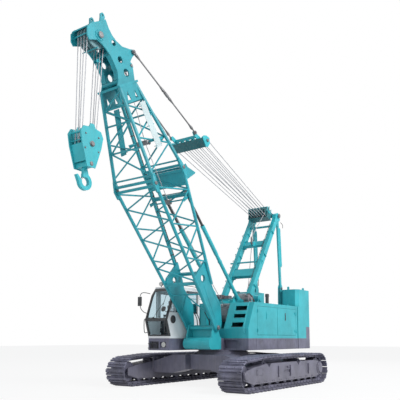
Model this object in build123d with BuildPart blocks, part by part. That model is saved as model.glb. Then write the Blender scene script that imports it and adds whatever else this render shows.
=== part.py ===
from build123d import *
import os
from math import atan2, cos, degrees, hypot, pi, radians, sin, tan

# Lattice-boom crawler crane, millimetres. +X is forward, +Y is the crane's left, +Z is up.
# The origin is on the ground below the slewing axis. The upper works face straight ahead
# and the boom stands at its parked angle.

# ---- undercarriage ------------------------------------------------------------------
TRACK_LENGTH = 6000  # over the lugs
TRACK_GAUGE = 4300  # centre to centre of the tracks
SHOE_WIDTH = 760
SHOE_PITCH = 232  # wished pitch, trimmed so that whole shoes fill the loop
SHOE_PLATE = 40  # shoe body proud of the chain
LUG_HEIGHT = 75  # shoe body and lug together
CHAIN_DEPTH = 80
TUMBLER_RADIUS = 360  # drive tumbler, at the rear
IDLER_RADIUS = 320  # idler, at the front
TOP_ROLLER_X = 1350  # foremost carrier roller, where the top run starts to fall
CARRIER_ROLLERS = 2
TRACK_ROLLERS = 9
TRACK_ROLLER_RADIUS = 140
CARRIER_RADIUS = 80
CARRIER_STEP = 2400
FRAME_WIDTH = 560  # over the track frame's side plates
FRAME_PLATE = 45
FRAME_TOP = 790
FRAME_FOOT = 230
WHEEL_GAP = 4  # chain to the wheels that fill it

AXLE_X = 1180  # axle beams ahead of and behind the slewing axis
AXLE_LENGTH = 520
AXLE_TOP = 960
AXLE_FOOT = 470
CARBODY_LENGTH = 2300
CARBODY_WIDTH = 2000
CARBODY_TOP = 1010
SLEW_RADIUS = 860
SLEW_TOP = 1110
SLEW_GAP = 10  # between the fixed and the turning ring

# ---- upper works --------------------------------------------------------------------
DECK_FOOT = 1150
DECK_TOP = 1532
HALF_WIDTH = 1355
HOUSE_FRONT = 560  # left front face, low down
HOUSE_INNER = 420  # inner wall of each machinery house
HOUSE_TOP = 2720
HOUSE_STEP = 1850  # where the left front panel starts to lean back
HOUSE_LEAN = 400  # how far it leans back at the top
HOUSE_REAR = -3050
HOUSE_WALL = 45
RIGHT_HOUSE_FRONT = 380
DOOR_GAP = 8
DOOR_FOOT = 1640
DOOR_HEAD = 2600
LEFT_DOOR_FRONT = -30
LEFT_DOOR_SPLIT = -1450
LEFT_DOOR_REAR = -2900
RIGHT_DOOR_FRONT = -700
RIGHT_DOOR_REAR = -2500
TAIL_FRONT = -3100
TAIL_REAR = -4220
TAIL_LIP_X = -3800
TAIL_LIP_TOP = 1970
TAIL_BLOCK_TOP = 3380
TAIL_NOTCH = 640  # half width of the notch that clears the gantry stays
TAIL_NOTCH_DEPTH = 400
TAIL_TONGUE = 600  # half width of the deck that reaches into the counterweight
TAIL_CORNER = 110
CAB_FRONT = 2070  # deck under the cab ends here
CAB_SIDE_IN = -665
CAB_SIDE_OUT = -1570
CAB_DECK_OUT = -1530
CAB_REAR = 420
CAB_FLOOR = 68
CAB_ROOF = 3230
CAB_WALL = 45
# front of the cab from the floor up to the roof, x and z
CAB_PROFILE = [(2042, 1600), (2217, 2120), (2127, 2355), (1907, 2940), (1717, 3180)]
CAB_DOOR_FRONT = 1560
CAB_DOOR_REAR = 700
GLASS = 8

FOOT_X = 1180  # boom foot pin
FOOT_Z = 1870
FOOT_PIN_RADIUS = 55
FOOT_HALF = 550  # centre of each boom foot plate
FOOT_PLATE = 70
FOOT_LUG = 60

DRUM_HALF = 300  # half of the length between the flanges
WINCH_HALF = 372  # outer face of the winch frame
WINCH_PLATE = 40
WINCH_FRONT = 250
WINCH_REAR = -2450
WINCH_TOP = 2860
MAIN_DRUM = (-420, 2420, 300, 420)  # x, z, barrel radius, flange radius
HOIST_DRUM = (-1550, 2950, 200, 320)
GEARBOX_RADIUS = 135
GEARBOX_LENGTH = 215

# ---- gantry -------------------------------------------------------------------------
GANTRY_FOOT_X = -880
GANTRY_FOOT_Z = 2960
APEX_X = -3050
APEX_Z = 6280
LEG_HALF = 530  # centre of each leg
LEG_WIDTH = 150
LEG_DEPTH = 210
STAY_FOOT_X = -3290
STAY_HALF = 530
NEST_X = -2650  # gantry sheave pin
NEST_Z = 6380
NEST_HALF = 380
NEST_SHEAVES = 7
NEST_SHEAVE_RADIUS = 210

# ---- suspension ---------------------------------------------------------------------
BAIL_X = 1850  # spreader sheave pin
BAIL_Z = 7850
BAIL_HALF = 660
BAIL_SHEAVES = 6
BAIL_SHEAVE_RADIUS = 170
BAIL_PIN_X = 2290  # pendant pin on the spreader
BAIL_PIN_Z = 8010
BAIL_PIN_HALF = 478
PENDANT_RADIUS = 22
PENDANT_EYE = 62
PENDANT_PLATE = 52

# ---- boom, along its own axis from the foot pin -------------------------------------
BOOM_ANGLE = 57.9
JOINT_S = 5100  # joint of the two sections
TIP_END_S = 7750
JOINT_WIDTH = 1485  # between chord centres, left to right
TIP_WIDTH = 700
JOINT_HALF_DEPTH = 740
TIP_FRONT = -320  # chord heights at the head end, front side negative
TIP_REAR = 380
FOOT_FRONT = -70
FOOT_REAR = 330
CHORD_RADIUS = 50
LACE_RADIUS = 26
PLATE_END_S = 1700  # end of the foot plates
BASE_LACES = 6  # pieces of each zigzag, foot plates to joint
TIP_LEVELS = (5330, 6110, 6850, 7280)  # cross tubes of the tip section
HEAD_PIN_S = 9130
HEAD_PIN_H = -350
HEAD_PIN_RADIUS = 55
HEAD_HALF = 320  # outer face of the head's side plates
HEAD_PLATE = 36
HEAD_SHEAVES = 4
HEAD_SHEAVE_RADIUS = 310
SHEAVE_WIDTH = 62
PENDANT_S = 8535
PENDANT_H = 778

# ---- backstops ----------------------------------------------------------------------
STOP_X = -300  # lower pin
STOP_Z = 2900
STOP_HALF = 432
STOP_TOP_S = 4300
STOP_TOP_H = 905
STOP_TUBE_LENGTH = 3050
STOP_TUBE_RADIUS = 62
STOP_ROD_RADIUS = 42

# ---- hook ---------------------------------------------------------------------------
BLOCK_DROP = 2970  # hook block pin below the head sheave pin
BLOCK_HALF = 250
BLOCK_PLATE = 32
BLOCK_PIN_RADIUS = 50
HOOK_DROP = 960  # hook's centre below the block pin
HOOK_BOWL = 118
HOOK_BODY = 100
HOOK_THICK = 95
RUN_CLEARANCE = 6
PIN_CLEARANCE = 1.5

SIDES = {"left": 1, "right": -1}


def sketch_plane(y):
    """Vertical fore-and-aft plane at y: its x is forward, its y is up, its normal is -Y."""
    return Plane(origin=(0, y, 0), x_dir=(1, 0, 0), z_dir=(0, -1, 0))


def bar(start, end, radius, sides=8):
    """Add a straight bar between two points to the part that is open."""
    run = Vector(*end) - Vector(*start)
    with BuildSketch(Plane(origin=start, z_dir=run)) as section:
        RegularPolygon(radius, sides)
    extrude(section.sketch, amount=run.length)


def beam(start, end, width, depth):
    """Add a box beam between two points at one y: width is across, depth is in the plane."""
    run = Vector(*end) - Vector(*start)
    with BuildSketch(Plane(origin=start, x_dir=(0, 1, 0), z_dir=run)) as section:
        Rectangle(width, depth)
    extrude(section.sketch, amount=run.length)


def cross_bar(x, z, y_low, y_high, radius, sides=0, mode=Mode.ADD):
    """Add a bar across the machine, from y_low to y_high: round, or with flat sides."""
    with BuildSketch(sketch_plane(y_high)) as section:
        with Locations((x, z)):
            if sides:
                RegularPolygon(radius, sides)
            else:
                Circle(radius)
    extrude(section.sketch, amount=y_high - y_low, mode=mode)


def panel(points, y_low, y_high, mode=Mode.ADD):
    """Add a flat plate across the machine whose outline is given in (x, z)."""
    with BuildSketch(sketch_plane(y_high)) as section:
        with BuildLine():
            Polyline(*points, close=True)
        make_face()
    extrude(section.sketch, amount=y_high - y_low, mode=mode)


def block(x0, x1, y0, y1, z0, z1, mode=Mode.ADD):
    """Add a square block between two opposite corners."""
    with BuildSketch(Plane.XY.offset(z0)) as section:
        with Locations(((x0 + x1) / 2, (y0 + y1) / 2)):
            Rectangle(abs(x1 - x0), abs(y1 - y0))
    extrude(section.sketch, amount=z1 - z0, mode=mode)


def save(builder, name):
    """Label a finished piece and write its file."""
    builder.part.label = name
    export_step(builder.part, f"parts/{name}.step")


os.makedirs("parts", exist_ok=True)

# ---- tracks -------------------------------------------------------------------------
# The loop runs flat along the ground, round the idler, up to the foremost carrier roller,
# back along the top and round the drive tumbler. BELT is the chain's outer line.
belt_tumbler = TUMBLER_RADIUS + WHEEL_GAP + CHAIN_DEPTH
belt_idler = IDLER_RADIUS + WHEEL_GAP + CHAIN_DEPTH
TUMBLER = (-TRACK_LENGTH / 2 + belt_tumbler + LUG_HEIGHT, LUG_HEIGHT + belt_tumbler)
IDLER = (TRACK_LENGTH / 2 - belt_idler - LUG_HEIGHT, LUG_HEIGHT + belt_idler)
belt_top = TUMBLER[1] + belt_tumbler
# the falling run leaves the carrier roller and touches the idler's circle
fall_run = IDLER[0] - TOP_ROLLER_X
fall_drop = belt_top - IDLER[1]
fall_reach = hypot(fall_run, fall_drop)
fall_length = (fall_reach**2 - belt_idler**2) ** 0.5
FALL = degrees(atan2(fall_drop, fall_run) - atan2(belt_idler, fall_length))

# stretches of the belt line: kind, length, then a start point and heading or a centre,
# radius and start angle
STRETCHES = [
    ("line", TOP_ROLLER_X - TUMBLER[0], (TUMBLER[0], belt_top), 0),
    ("line", fall_length, (TOP_ROLLER_X, belt_top), -FALL),
    ("arc", radians(180 - FALL) * belt_idler, IDLER, belt_idler, 90 - FALL),
    ("line", IDLER[0] - TUMBLER[0], (IDLER[0], LUG_HEIGHT), 180),
    ("arc", pi * belt_tumbler, TUMBLER, belt_tumbler, 270),
]
LOOP_LENGTH = sum(stretch[1] for stretch in STRETCHES)
SHOES = round(LOOP_LENGTH / SHOE_PITCH)


def on_belt(distance, outward):
    """Point at a distance along the belt line, moved outward from the loop."""
    distance %= LOOP_LENGTH
    for kind, length, *place in STRETCHES:
        if distance <= length:
            break
        distance -= length
    if kind == "line":
        (x, z), heading = place
        along = (cos(radians(heading)), sin(radians(heading)))
        return (x + along[0] * distance - along[1] * outward, z + along[1] * distance + along[0] * outward)
    (x, z), radius, start = place
    turn = radians(start) - distance / radius
    return (x + (radius + outward) * cos(turn), z + (radius + outward) * sin(turn))


def around(centre, radius, angle):
    """Point on a circle, by its angle in degrees."""
    return (centre[0] + radius * cos(radians(angle)), centre[1] + radius * sin(radians(angle)))


wrap_tumbler = TUMBLER_RADIUS + WHEEL_GAP
wrap_idler = IDLER_RADIUS + WHEEL_GAP

# one shoe, as shares of the pitch along it and heights above the chain
SHOE_OUTLINE = [
    (0.04, 0),
    (0.06, SHOE_PLATE),
    (0.30, SHOE_PLATE),
    (0.36, LUG_HEIGHT),
    (0.64, LUG_HEIGHT),
    (0.70, SHOE_PLATE),
    (0.94, SHOE_PLATE),
    (0.96, 0),
]
shoe_step = LOOP_LENGTH / SHOES
for side, sign in SIDES.items():
    with BuildPart() as track:
        with BuildSketch(sketch_plane(sign * TRACK_GAUGE / 2 + SHOE_WIDTH / 2)):
            with BuildLine():
                Polyline(
                    *[
                        on_belt((shoe + share) * shoe_step, height)
                        for shoe in range(SHOES)
                        for share, height in SHOE_OUTLINE
                    ],
                    close=True,
                )
            make_face()
            with BuildLine():
                Polyline(
                    around(TUMBLER, wrap_tumbler, 90),
                    (TOP_ROLLER_X, belt_top - CHAIN_DEPTH),
                    around(IDLER, wrap_idler, 90 - FALL),
                )
                ThreePointArc(*[around(IDLER, wrap_idler, turn) for turn in (90 - FALL, -FALL / 2, -90)])
                Line(around(IDLER, wrap_idler, -90), around(TUMBLER, wrap_tumbler, -90))
                ThreePointArc(*[around(TUMBLER, wrap_tumbler, turn) for turn in (-90, -180, -270)])
            make_face(mode=Mode.SUBTRACT)
        extrude(amount=SHOE_WIDTH)
    save(track, f"track_{side}")

# ---- track frames and their wheels --------------------------------------------------
roller_z = LUG_HEIGHT + CHAIN_DEPTH + WHEEL_GAP + TRACK_ROLLER_RADIUS
roller_span = IDLER[0] - TUMBLER[0] - IDLER_RADIUS - TUMBLER_RADIUS - 2 * TRACK_ROLLER_RADIUS - 60
roller_middle = (IDLER[0] - IDLER_RADIUS + TUMBLER[0] + TUMBLER_RADIUS) / 2
roller_step = roller_span / (TRACK_ROLLERS - 1)
carrier_z = belt_top - CHAIN_DEPTH - WHEEL_GAP - CARRIER_RADIUS
NOTCH_X = (1180, -820)
NOTCH_HALF = 130
NOTCH_DEPTH = 120
for side, sign in SIDES.items():
    middle = sign * TRACK_GAUGE / 2
    with BuildPart() as frame:
        # outline of the whole frame, from the drive end to the idler fork
        panel(
            [
                (TUMBLER[0] - 130, TUMBLER[1] - 190),
                (TUMBLER[0] + 330, FRAME_FOOT),
                (IDLER[0] - 380, FRAME_FOOT),
                (IDLER[0] + 130, IDLER[1] - 110),
                (IDLER[0] + 130, IDLER[1] + 110),
                (IDLER[0] - 420, FRAME_TOP - 90),
                (TOP_ROLLER_X - 80, FRAME_TOP),
                (TUMBLER[0] + 360, FRAME_TOP),
                (TUMBLER[0] - 130, TUMBLER[1] + 190),
            ],
            middle - FRAME_WIDTH / 2,
            middle + FRAME_WIDTH / 2,
        )
        for notch in NOTCH_X:
            panel(
                [
                    (notch - NOTCH_HALF, FRAME_TOP),
                    (notch, FRAME_TOP - NOTCH_DEPTH),
                    (notch + NOTCH_HALF, FRAME_TOP),
                ],
                middle - FRAME_WIDTH / 2,
                middle + FRAME_WIDTH / 2,
                mode=Mode.SUBTRACT,
            )
        # room for the rollers below and for the wheels between the fork plates
        inner = FRAME_WIDTH / 2 - FRAME_PLATE
        roof = roller_z + TRACK_ROLLER_RADIUS + 12
        low = roller_middle - roller_span / 2 - TRACK_ROLLER_RADIUS - 30
        high = roller_middle + roller_span / 2 + TRACK_ROLLER_RADIUS + 30
        block(low, high, middle - inner, middle + inner, 0, roof, mode=Mode.SUBTRACT)
        cross_bar(*TUMBLER, middle - inner, middle + inner, TUMBLER_RADIUS + 12, mode=Mode.SUBTRACT)
        cross_bar(*IDLER, middle - inner, middle + inner, IDLER_RADIUS + 12, mode=Mode.SUBTRACT)
        for x in (TOP_ROLLER_X, TOP_ROLLER_X - CARRIER_STEP):
            pocket = CARRIER_RADIUS + 12
            block(
                x - pocket, x + pocket, middle - inner, middle + inner,
                carrier_z - pocket, FRAME_TOP + 1, mode=Mode.SUBTRACT,
            )
        # foot holes in the outer plate
        face = middle + sign * FRAME_WIDTH / 2
        near, far = sorted((face - sign * 30, face + sign))
        for x, z, length in ((20, 640, 200), (0, 520, 420)):
            front, rear = x + length / 2, x - length / 2
            block(rear, front, near, far, z - 35, z + 35, mode=Mode.SUBTRACT)
    save(frame, f"track_frame_{side}")

    with BuildPart() as wheels:
        # drive tumbler with its lobes, idler, track rollers and carrier rollers
        with BuildSketch(sketch_plane(middle + 150)):
            with Locations(TUMBLER):
                RegularPolygon(TUMBLER_RADIUS, 36)
                with PolarLocations(TUMBLER_RADIUS + 30, 9):
                    RegularPolygon(70, 8, mode=Mode.SUBTRACT)
        extrude(amount=300)
        cross_bar(*TUMBLER, middle - inner, middle + inner, 160, sides=20)
        cross_bar(*IDLER, middle - 150, middle + 150, IDLER_RADIUS, sides=32)
        cross_bar(*IDLER, middle - inner, middle + inner, 95, sides=16)
        for count in range(TRACK_ROLLERS):
            x = roller_middle - roller_span / 2 + count * roller_step
            cross_bar(x, roller_z, middle - inner, middle + inner, 70, sides=8)
            for y in (middle - inner + 20, middle + inner - 140):
                cross_bar(x, roller_z, y, y + 120, TRACK_ROLLER_RADIUS, sides=16)
        for x in (TOP_ROLLER_X, TOP_ROLLER_X - CARRIER_STEP):
            cross_bar(x, carrier_z, middle - 170, middle + 170, CARRIER_RADIUS, sides=16)
            cross_bar(x, carrier_z, middle - inner, middle + inner, 30, sides=8)
    save(wheels, f"track_wheels_{side}")

# ---- carbody and slewing ring -------------------------------------------------------
frame_inner = TRACK_GAUGE / 2 - FRAME_WIDTH / 2
with BuildPart() as carbody:
    block(
        -CARBODY_LENGTH / 2, CARBODY_LENGTH / 2, -CARBODY_WIDTH / 2, CARBODY_WIDTH / 2,
        AXLE_FOOT + 60, CARBODY_TOP,
    )
    chamfer(carbody.edges().filter_by(Axis.Z), 260)
    for x in (-AXLE_X, AXLE_X):
        for sign in SIDES.values():
            # each axle beam tapers from the centre body to the track frame
            low = sign * frame_inner
            with BuildSketch(Plane.YZ.offset(x - AXLE_LENGTH / 2)) as section:
                with BuildLine():
                    Polyline(
                        (sign * CARBODY_WIDTH / 4, AXLE_FOOT + 60),
                        (sign * CARBODY_WIDTH / 4, CARBODY_TOP),
                        (sign * CARBODY_WIDTH / 2, CARBODY_TOP),
                        (low, FRAME_TOP - 20),
                        (low, AXLE_FOOT - 60),
                        (sign * CARBODY_WIDTH / 2, AXLE_FOOT - 60),
                        close=True,
                    )
                make_face()
            extrude(section.sketch, amount=AXLE_LENGTH)
save(carbody, "carbody")

RING_WIDTH = 150
with BuildPart() as slew_ring:
    with BuildSketch(Plane.XY.offset(CARBODY_TOP)) as section:
        Circle(SLEW_RADIUS)
        Circle(SLEW_RADIUS - RING_WIDTH, mode=Mode.SUBTRACT)
    extrude(section.sketch, amount=SLEW_TOP - CARBODY_TOP)
save(slew_ring, "slew_ring")

# ---- deck ---------------------------------------------------------------------------
FRONT_RECESS = 120
NOSE_HALF = 520
with BuildPart() as deck:
    with BuildSketch(Plane.XY.offset(DECK_FOOT)) as section:
        with BuildLine():
            Polyline(
                (HOUSE_REAR, -HALF_WIDTH),
                (CAB_REAR - 60, -HALF_WIDTH),
                (CAB_REAR - 60, CAB_DECK_OUT),
                (CAB_FRONT, CAB_DECK_OUT),
                (CAB_FRONT, CAB_SIDE_IN),
                (FOOT_X - 320, CAB_SIDE_IN),
                (FOOT_X - 320, HOUSE_INNER),
                (HOUSE_FRONT, HOUSE_INNER),
                (HOUSE_FRONT, HALF_WIDTH),
                (HOUSE_REAR, HALF_WIDTH),
                (HOUSE_REAR, TAIL_TONGUE),
                (TAIL_FRONT - TAIL_NOTCH_DEPTH, TAIL_TONGUE),
                (TAIL_FRONT - TAIL_NOTCH_DEPTH, -TAIL_TONGUE),
                (HOUSE_REAR, -TAIL_TONGUE),
                close=True,
            )
        make_face()
    extrude(section.sketch, amount=DECK_TOP - DECK_FOOT)
    # turning half of the slewing ring
    with BuildSketch(Plane.XY.offset(SLEW_TOP + SLEW_GAP)) as section:
        Circle(SLEW_RADIUS - 40)
        Circle(SLEW_RADIUS - RING_WIDTH, mode=Mode.SUBTRACT)
    extrude(section.sketch, amount=DECK_FOOT - SLEW_TOP - SLEW_GAP)
    # recess in the left front face, drawn to a point at its outer end
    with BuildSketch(Plane.YZ.offset(HOUSE_FRONT)) as section:
        with BuildLine():
            Polyline(
                (HOUSE_INNER, DECK_TOP - 60),
                (HALF_WIDTH - 420, DECK_TOP - 60),
                (HALF_WIDTH - 260, (DECK_TOP + DECK_FOOT) / 2),
                (HALF_WIDTH - 420, DECK_FOOT + 60),
                (HOUSE_INNER, DECK_FOOT + 60),
                close=True,
            )
        make_face()
    extrude(section.sketch, amount=-FRONT_RECESS, mode=Mode.SUBTRACT)
    # grille and lamp recesses below the cab
    block(
        CAB_FRONT - 60, CAB_FRONT, CAB_DECK_OUT + 50, CAB_DECK_OUT + 430, DECK_FOOT + 50, DECK_TOP - 100,
        mode=Mode.SUBTRACT,
    )
    block(
        CAB_FRONT - 60, CAB_FRONT, CAB_DECK_OUT + 490, CAB_DECK_OUT + 740, DECK_FOOT + 90, DECK_TOP - 110,
        mode=Mode.SUBTRACT,
    )
save(deck, "deck")

# ---- boom foot mount ----------------------------------------------------------------
LUG_PLATE = 50
lug_outer = FOOT_HALF - FOOT_PLATE / 2 - RUN_CLEARANCE
lug_inner = lug_outer - LUG_PLATE
NOSE_RADIUS = 190
nose_x = FOOT_X + 190
nose_z = DECK_FOOT + NOSE_RADIUS + 30
with BuildPart() as foot_mount:
    # rounded nose across the main frame, below the pins
    cross_bar(nose_x, nose_z, -lug_outer, lug_outer, NOSE_RADIUS)
    panel(
        [
            (FOOT_X - 320, DECK_FOOT + 30),
            (nose_x, DECK_FOOT + 30),
            (nose_x, nose_z + NOSE_RADIUS),
            (FOOT_X - 320, DECK_TOP + 40),
        ],
        -lug_outer,
        lug_outer,
    )
    for sign in SIDES.values():
        low = min(sign * lug_outer, sign * lug_inner)
        high = max(sign * lug_outer, sign * lug_inner)
        panel(
            [
                (FOOT_X - 320, DECK_TOP - 60),
                (nose_x + 60, DECK_TOP - 60),
                (FOOT_X + 125, FOOT_Z),
                (FOOT_X - 125, FOOT_Z),
            ],
            low,
            high,
        )
        cross_bar(FOOT_X, FOOT_Z, low, high, 128)
    # plate between the lugs
    panel(
        [
            (FOOT_X - 150, DECK_TOP),
            (FOOT_X - 90, DECK_TOP),
            (FOOT_X - 90, FOOT_Z + 90),
            (FOOT_X - 150, FOOT_Z + 90),
        ],
        -lug_inner,
        lug_inner,
    )
    cross_bar(FOOT_X, FOOT_Z, -FOOT_HALF - 75, FOOT_HALF + 75, FOOT_PIN_RADIUS)
save(foot_mount, "boom_foot_mount")

# ---- machinery houses ---------------------------------------------------------------
HINGE_RADIUS = 16
HINGE_PIN_RADIUS = 6
HINGE_HEIGHT = 80


def hinge_pins(x, y, wall, away, heights):
    """Add the fixed half of a door hinge: at each height a pin on a bracket, off the door's edge."""
    for z in heights:
        with BuildSketch(Plane.XY.offset(z - 30)) as section:
            with Locations((x, y)):
                RegularPolygon(HINGE_RADIUS - 3, 12)
            with Locations((x + away * (DOOR_GAP / 2 + HINGE_RADIUS), (wall + y) / 2)):
                Rectangle(2 * HINGE_RADIUS, abs(y - wall))
        extrude(section.sketch, amount=24)
        with BuildSketch(Plane.XY.offset(z - 30)) as section:
            with Locations((x, y)):
                Circle(HINGE_PIN_RADIUS)
        extrude(section.sketch, amount=HINGE_HEIGHT + 30)


def hinge_knuckles(x, y, wall, reach, heights):
    """Add the door half of a hinge: a strap on the door and its bored knuckle, at each height."""
    for z in heights:
        with BuildSketch(Plane.XY.offset(z)) as section:
            with Locations((x, y)):
                RegularPolygon(HINGE_RADIUS - 3, 12)
            with Locations(((x + x + reach) / 2, (wall + y) / 2)):
                Rectangle(abs(reach), abs(y - wall))
            with Locations((x, y)):
                Circle(HINGE_PIN_RADIUS + PIN_CLEARANCE, mode=Mode.SUBTRACT)
        extrude(section.sketch, amount=HINGE_HEIGHT)


def house_shell(front, y_in, y_out):
    """Add a house of folded plate, open below, between two y values."""
    low, high = min(y_in, y_out), max(y_in, y_out)
    foot_x, step_z, head_x = front
    shift = HOUSE_WALL
    panel(
        [
            (foot_x, DECK_TOP),
            (foot_x, step_z),
            (head_x, HOUSE_TOP),
            (HOUSE_REAR, HOUSE_TOP),
            (HOUSE_REAR, DECK_TOP),
        ],
        low,
        high,
    )
    panel(
        [
            (foot_x - shift, DECK_TOP),
            (foot_x - shift, step_z),
            (head_x - shift, HOUSE_TOP - shift),
            (HOUSE_REAR + shift, HOUSE_TOP - shift),
            (HOUSE_REAR + shift, DECK_TOP),
        ],
        low + shift,
        high - shift,
        mode=Mode.SUBTRACT,
    )


door_heights = (DOOR_FOOT + 120, DOOR_HEAD - 120 - HINGE_HEIGHT)
left_hinge_y = HALF_WIDTH + HINGE_RADIUS
with BuildPart() as house_left:
    house_shell((HOUSE_FRONT, HOUSE_STEP, HOUSE_FRONT - HOUSE_LEAN), HOUSE_INNER, HALF_WIDTH)
    # low box in front of the winch, joined to the house
    block(WINCH_FRONT + 20, HOUSE_FRONT, -70, HOUSE_INNER, DECK_TOP, HOUSE_STEP)
    # steps through the leaning front
    for low, high in ((1900, 2050), (2200, 2330), (2450, 2600)):
        block(0, HOUSE_FRONT + 10, 680, 1130, low, high, mode=Mode.SUBTRACT)
    # opening closed by the two side doors
    block(
        LEFT_DOOR_REAR, LEFT_DOOR_FRONT, HALF_WIDTH - HOUSE_WALL - 1, HALF_WIDTH + 1,
        DOOR_FOOT, DOOR_HEAD, mode=Mode.SUBTRACT,
    )
    hinge_pins(LEFT_DOOR_FRONT - DOOR_GAP / 2, left_hinge_y, HALF_WIDTH, 1, door_heights)
    hinge_pins(LEFT_DOOR_REAR + DOOR_GAP / 2, left_hinge_y, HALF_WIDTH, -1, door_heights)
save(house_left, "house_left")

with BuildPart() as house_right:
    house_shell((RIGHT_HOUSE_FRONT, HOUSE_STEP, RIGHT_HOUSE_FRONT), -HOUSE_INNER, -HALF_WIDTH)
    block(
        RIGHT_DOOR_REAR, RIGHT_DOOR_FRONT, -HALF_WIDTH - 1, -HALF_WIDTH + HOUSE_WALL + 1,
        DOOR_FOOT, DOOR_HEAD, mode=Mode.SUBTRACT,
    )
    hinge_pins(RIGHT_DOOR_FRONT - DOOR_GAP / 2, -left_hinge_y, -HALF_WIDTH, 1, door_heights)
save(house_right, "house_right")


def side_door(rear, front, sign, hinge_x, reach):
    """Add a flat door of the houses with its handle recess and its knuckles."""
    outer = sign * HALF_WIDTH
    inner = sign * (HALF_WIDTH - HOUSE_WALL)
    block(
        rear + DOOR_GAP, front - DOOR_GAP, min(outer, inner), max(outer, inner),
        DOOR_FOOT + DOOR_GAP, DOOR_HEAD - DOOR_GAP,
    )
    hinge_knuckles(hinge_x, sign * left_hinge_y, outer, reach, door_heights)


with BuildPart() as door_left_front:
    side_door(LEFT_DOOR_SPLIT, LEFT_DOOR_FRONT, 1, LEFT_DOOR_FRONT - DOOR_GAP / 2, -90)
save(door_left_front, "house_door_left_front")

with BuildPart() as door_left_rear:
    side_door(LEFT_DOOR_REAR, LEFT_DOOR_SPLIT, 1, LEFT_DOOR_REAR + DOOR_GAP / 2, 90)
save(door_left_rear, "house_door_left_rear")

with BuildPart() as door_right:
    side_door(RIGHT_DOOR_REAR, RIGHT_DOOR_FRONT, -1, RIGHT_DOOR_FRONT - DOOR_GAP / 2, -90)
save(door_right, "house_door_right")

ENGINE_REAR = -1900
ENGINE_LENGTH = 1300
ENGINE_HEIGHT = 800
ENGINE_ROOM = 145  # between the engine and the house's walls
with BuildPart() as engine:
    block(
        ENGINE_REAR, ENGINE_REAR + ENGINE_LENGTH, HOUSE_INNER + ENGINE_ROOM, HALF_WIDTH - ENGINE_ROOM,
        DECK_TOP, DECK_TOP + ENGINE_HEIGHT,
    )
save(engine, "engine")

# ---- counterweight ------------------------------------------------------------------
TAIL_FIT = 40  # clearance round the gantry stays' brackets
LIFT_BORE = 35
with BuildPart() as weight_base:
    block(TAIL_REAR, TAIL_FRONT, -HALF_WIDTH, HALF_WIDTH, DECK_FOOT, DECK_TOP)
    block(TAIL_REAR, TAIL_LIP_X, -HALF_WIDTH, HALF_WIDTH, DECK_TOP, TAIL_LIP_TOP)
    rear_edges = weight_base.edges().filter_by(Axis.Z).group_by(Axis.X)[0]
    chamfer(rear_edges, TAIL_CORNER)
    block(
        TAIL_FRONT - TAIL_NOTCH_DEPTH, TAIL_FRONT, -TAIL_TONGUE, TAIL_TONGUE, DECK_FOOT, DECK_TOP,
        mode=Mode.SUBTRACT,
    )
save(weight_base, "counterweight_base")

with BuildPart() as weight_main:
    block(TAIL_REAR, TAIL_FRONT, -HALF_WIDTH, HALF_WIDTH, DECK_TOP, HOUSE_TOP)
    rear_edges = weight_main.edges().filter_by(Axis.Z).group_by(Axis.X)[0]
    chamfer(rear_edges, TAIL_CORNER)
    block(
        TAIL_FRONT - TAIL_NOTCH_DEPTH, TAIL_FRONT, -TAIL_NOTCH, TAIL_NOTCH, DECK_TOP, HOUSE_TOP,
        mode=Mode.SUBTRACT,
    )
    block(TAIL_REAR, TAIL_LIP_X, -HALF_WIDTH, HALF_WIDTH, DECK_TOP, TAIL_LIP_TOP, mode=Mode.SUBTRACT)
save(weight_main, "counterweight_main")

with BuildPart() as weight_blocks:
    for sign in SIDES.values():
        low, high = sorted((sign * TAIL_NOTCH, sign * HALF_WIDTH))
        with BuildSketch(Plane.XY.offset(HOUSE_TOP)) as section:
            with Locations(((TAIL_REAR + TAIL_FRONT) / 2, (low + high) / 2)):
                Rectangle(TAIL_FRONT - TAIL_REAR, high - low)
            chamfer(section.vertices(), TAIL_CORNER)
        extrude(section.sketch, amount=TAIL_BLOCK_TOP - HOUSE_TOP)
        for x, y in ((TAIL_FRONT - 150, sign * 900), (TAIL_REAR + 130, sign * 1120)):
            block(x - 60, x + 60, y - 20, y + 20, TAIL_BLOCK_TOP, TAIL_BLOCK_TOP + 70)
            cross_bar(x, TAIL_BLOCK_TOP + 70, y - 20, y + 20, 60)
            cross_bar(x, TAIL_BLOCK_TOP + 70, y - 20, y + 20, LIFT_BORE, mode=Mode.SUBTRACT)
    # bridge between the two blocks, behind the gantry
    block(TAIL_REAR + 200, TAIL_REAR + 380, -TAIL_NOTCH, TAIL_NOTCH, HOUSE_TOP, HOUSE_TOP + 120)
save(weight_blocks, "counterweight_blocks")

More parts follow.
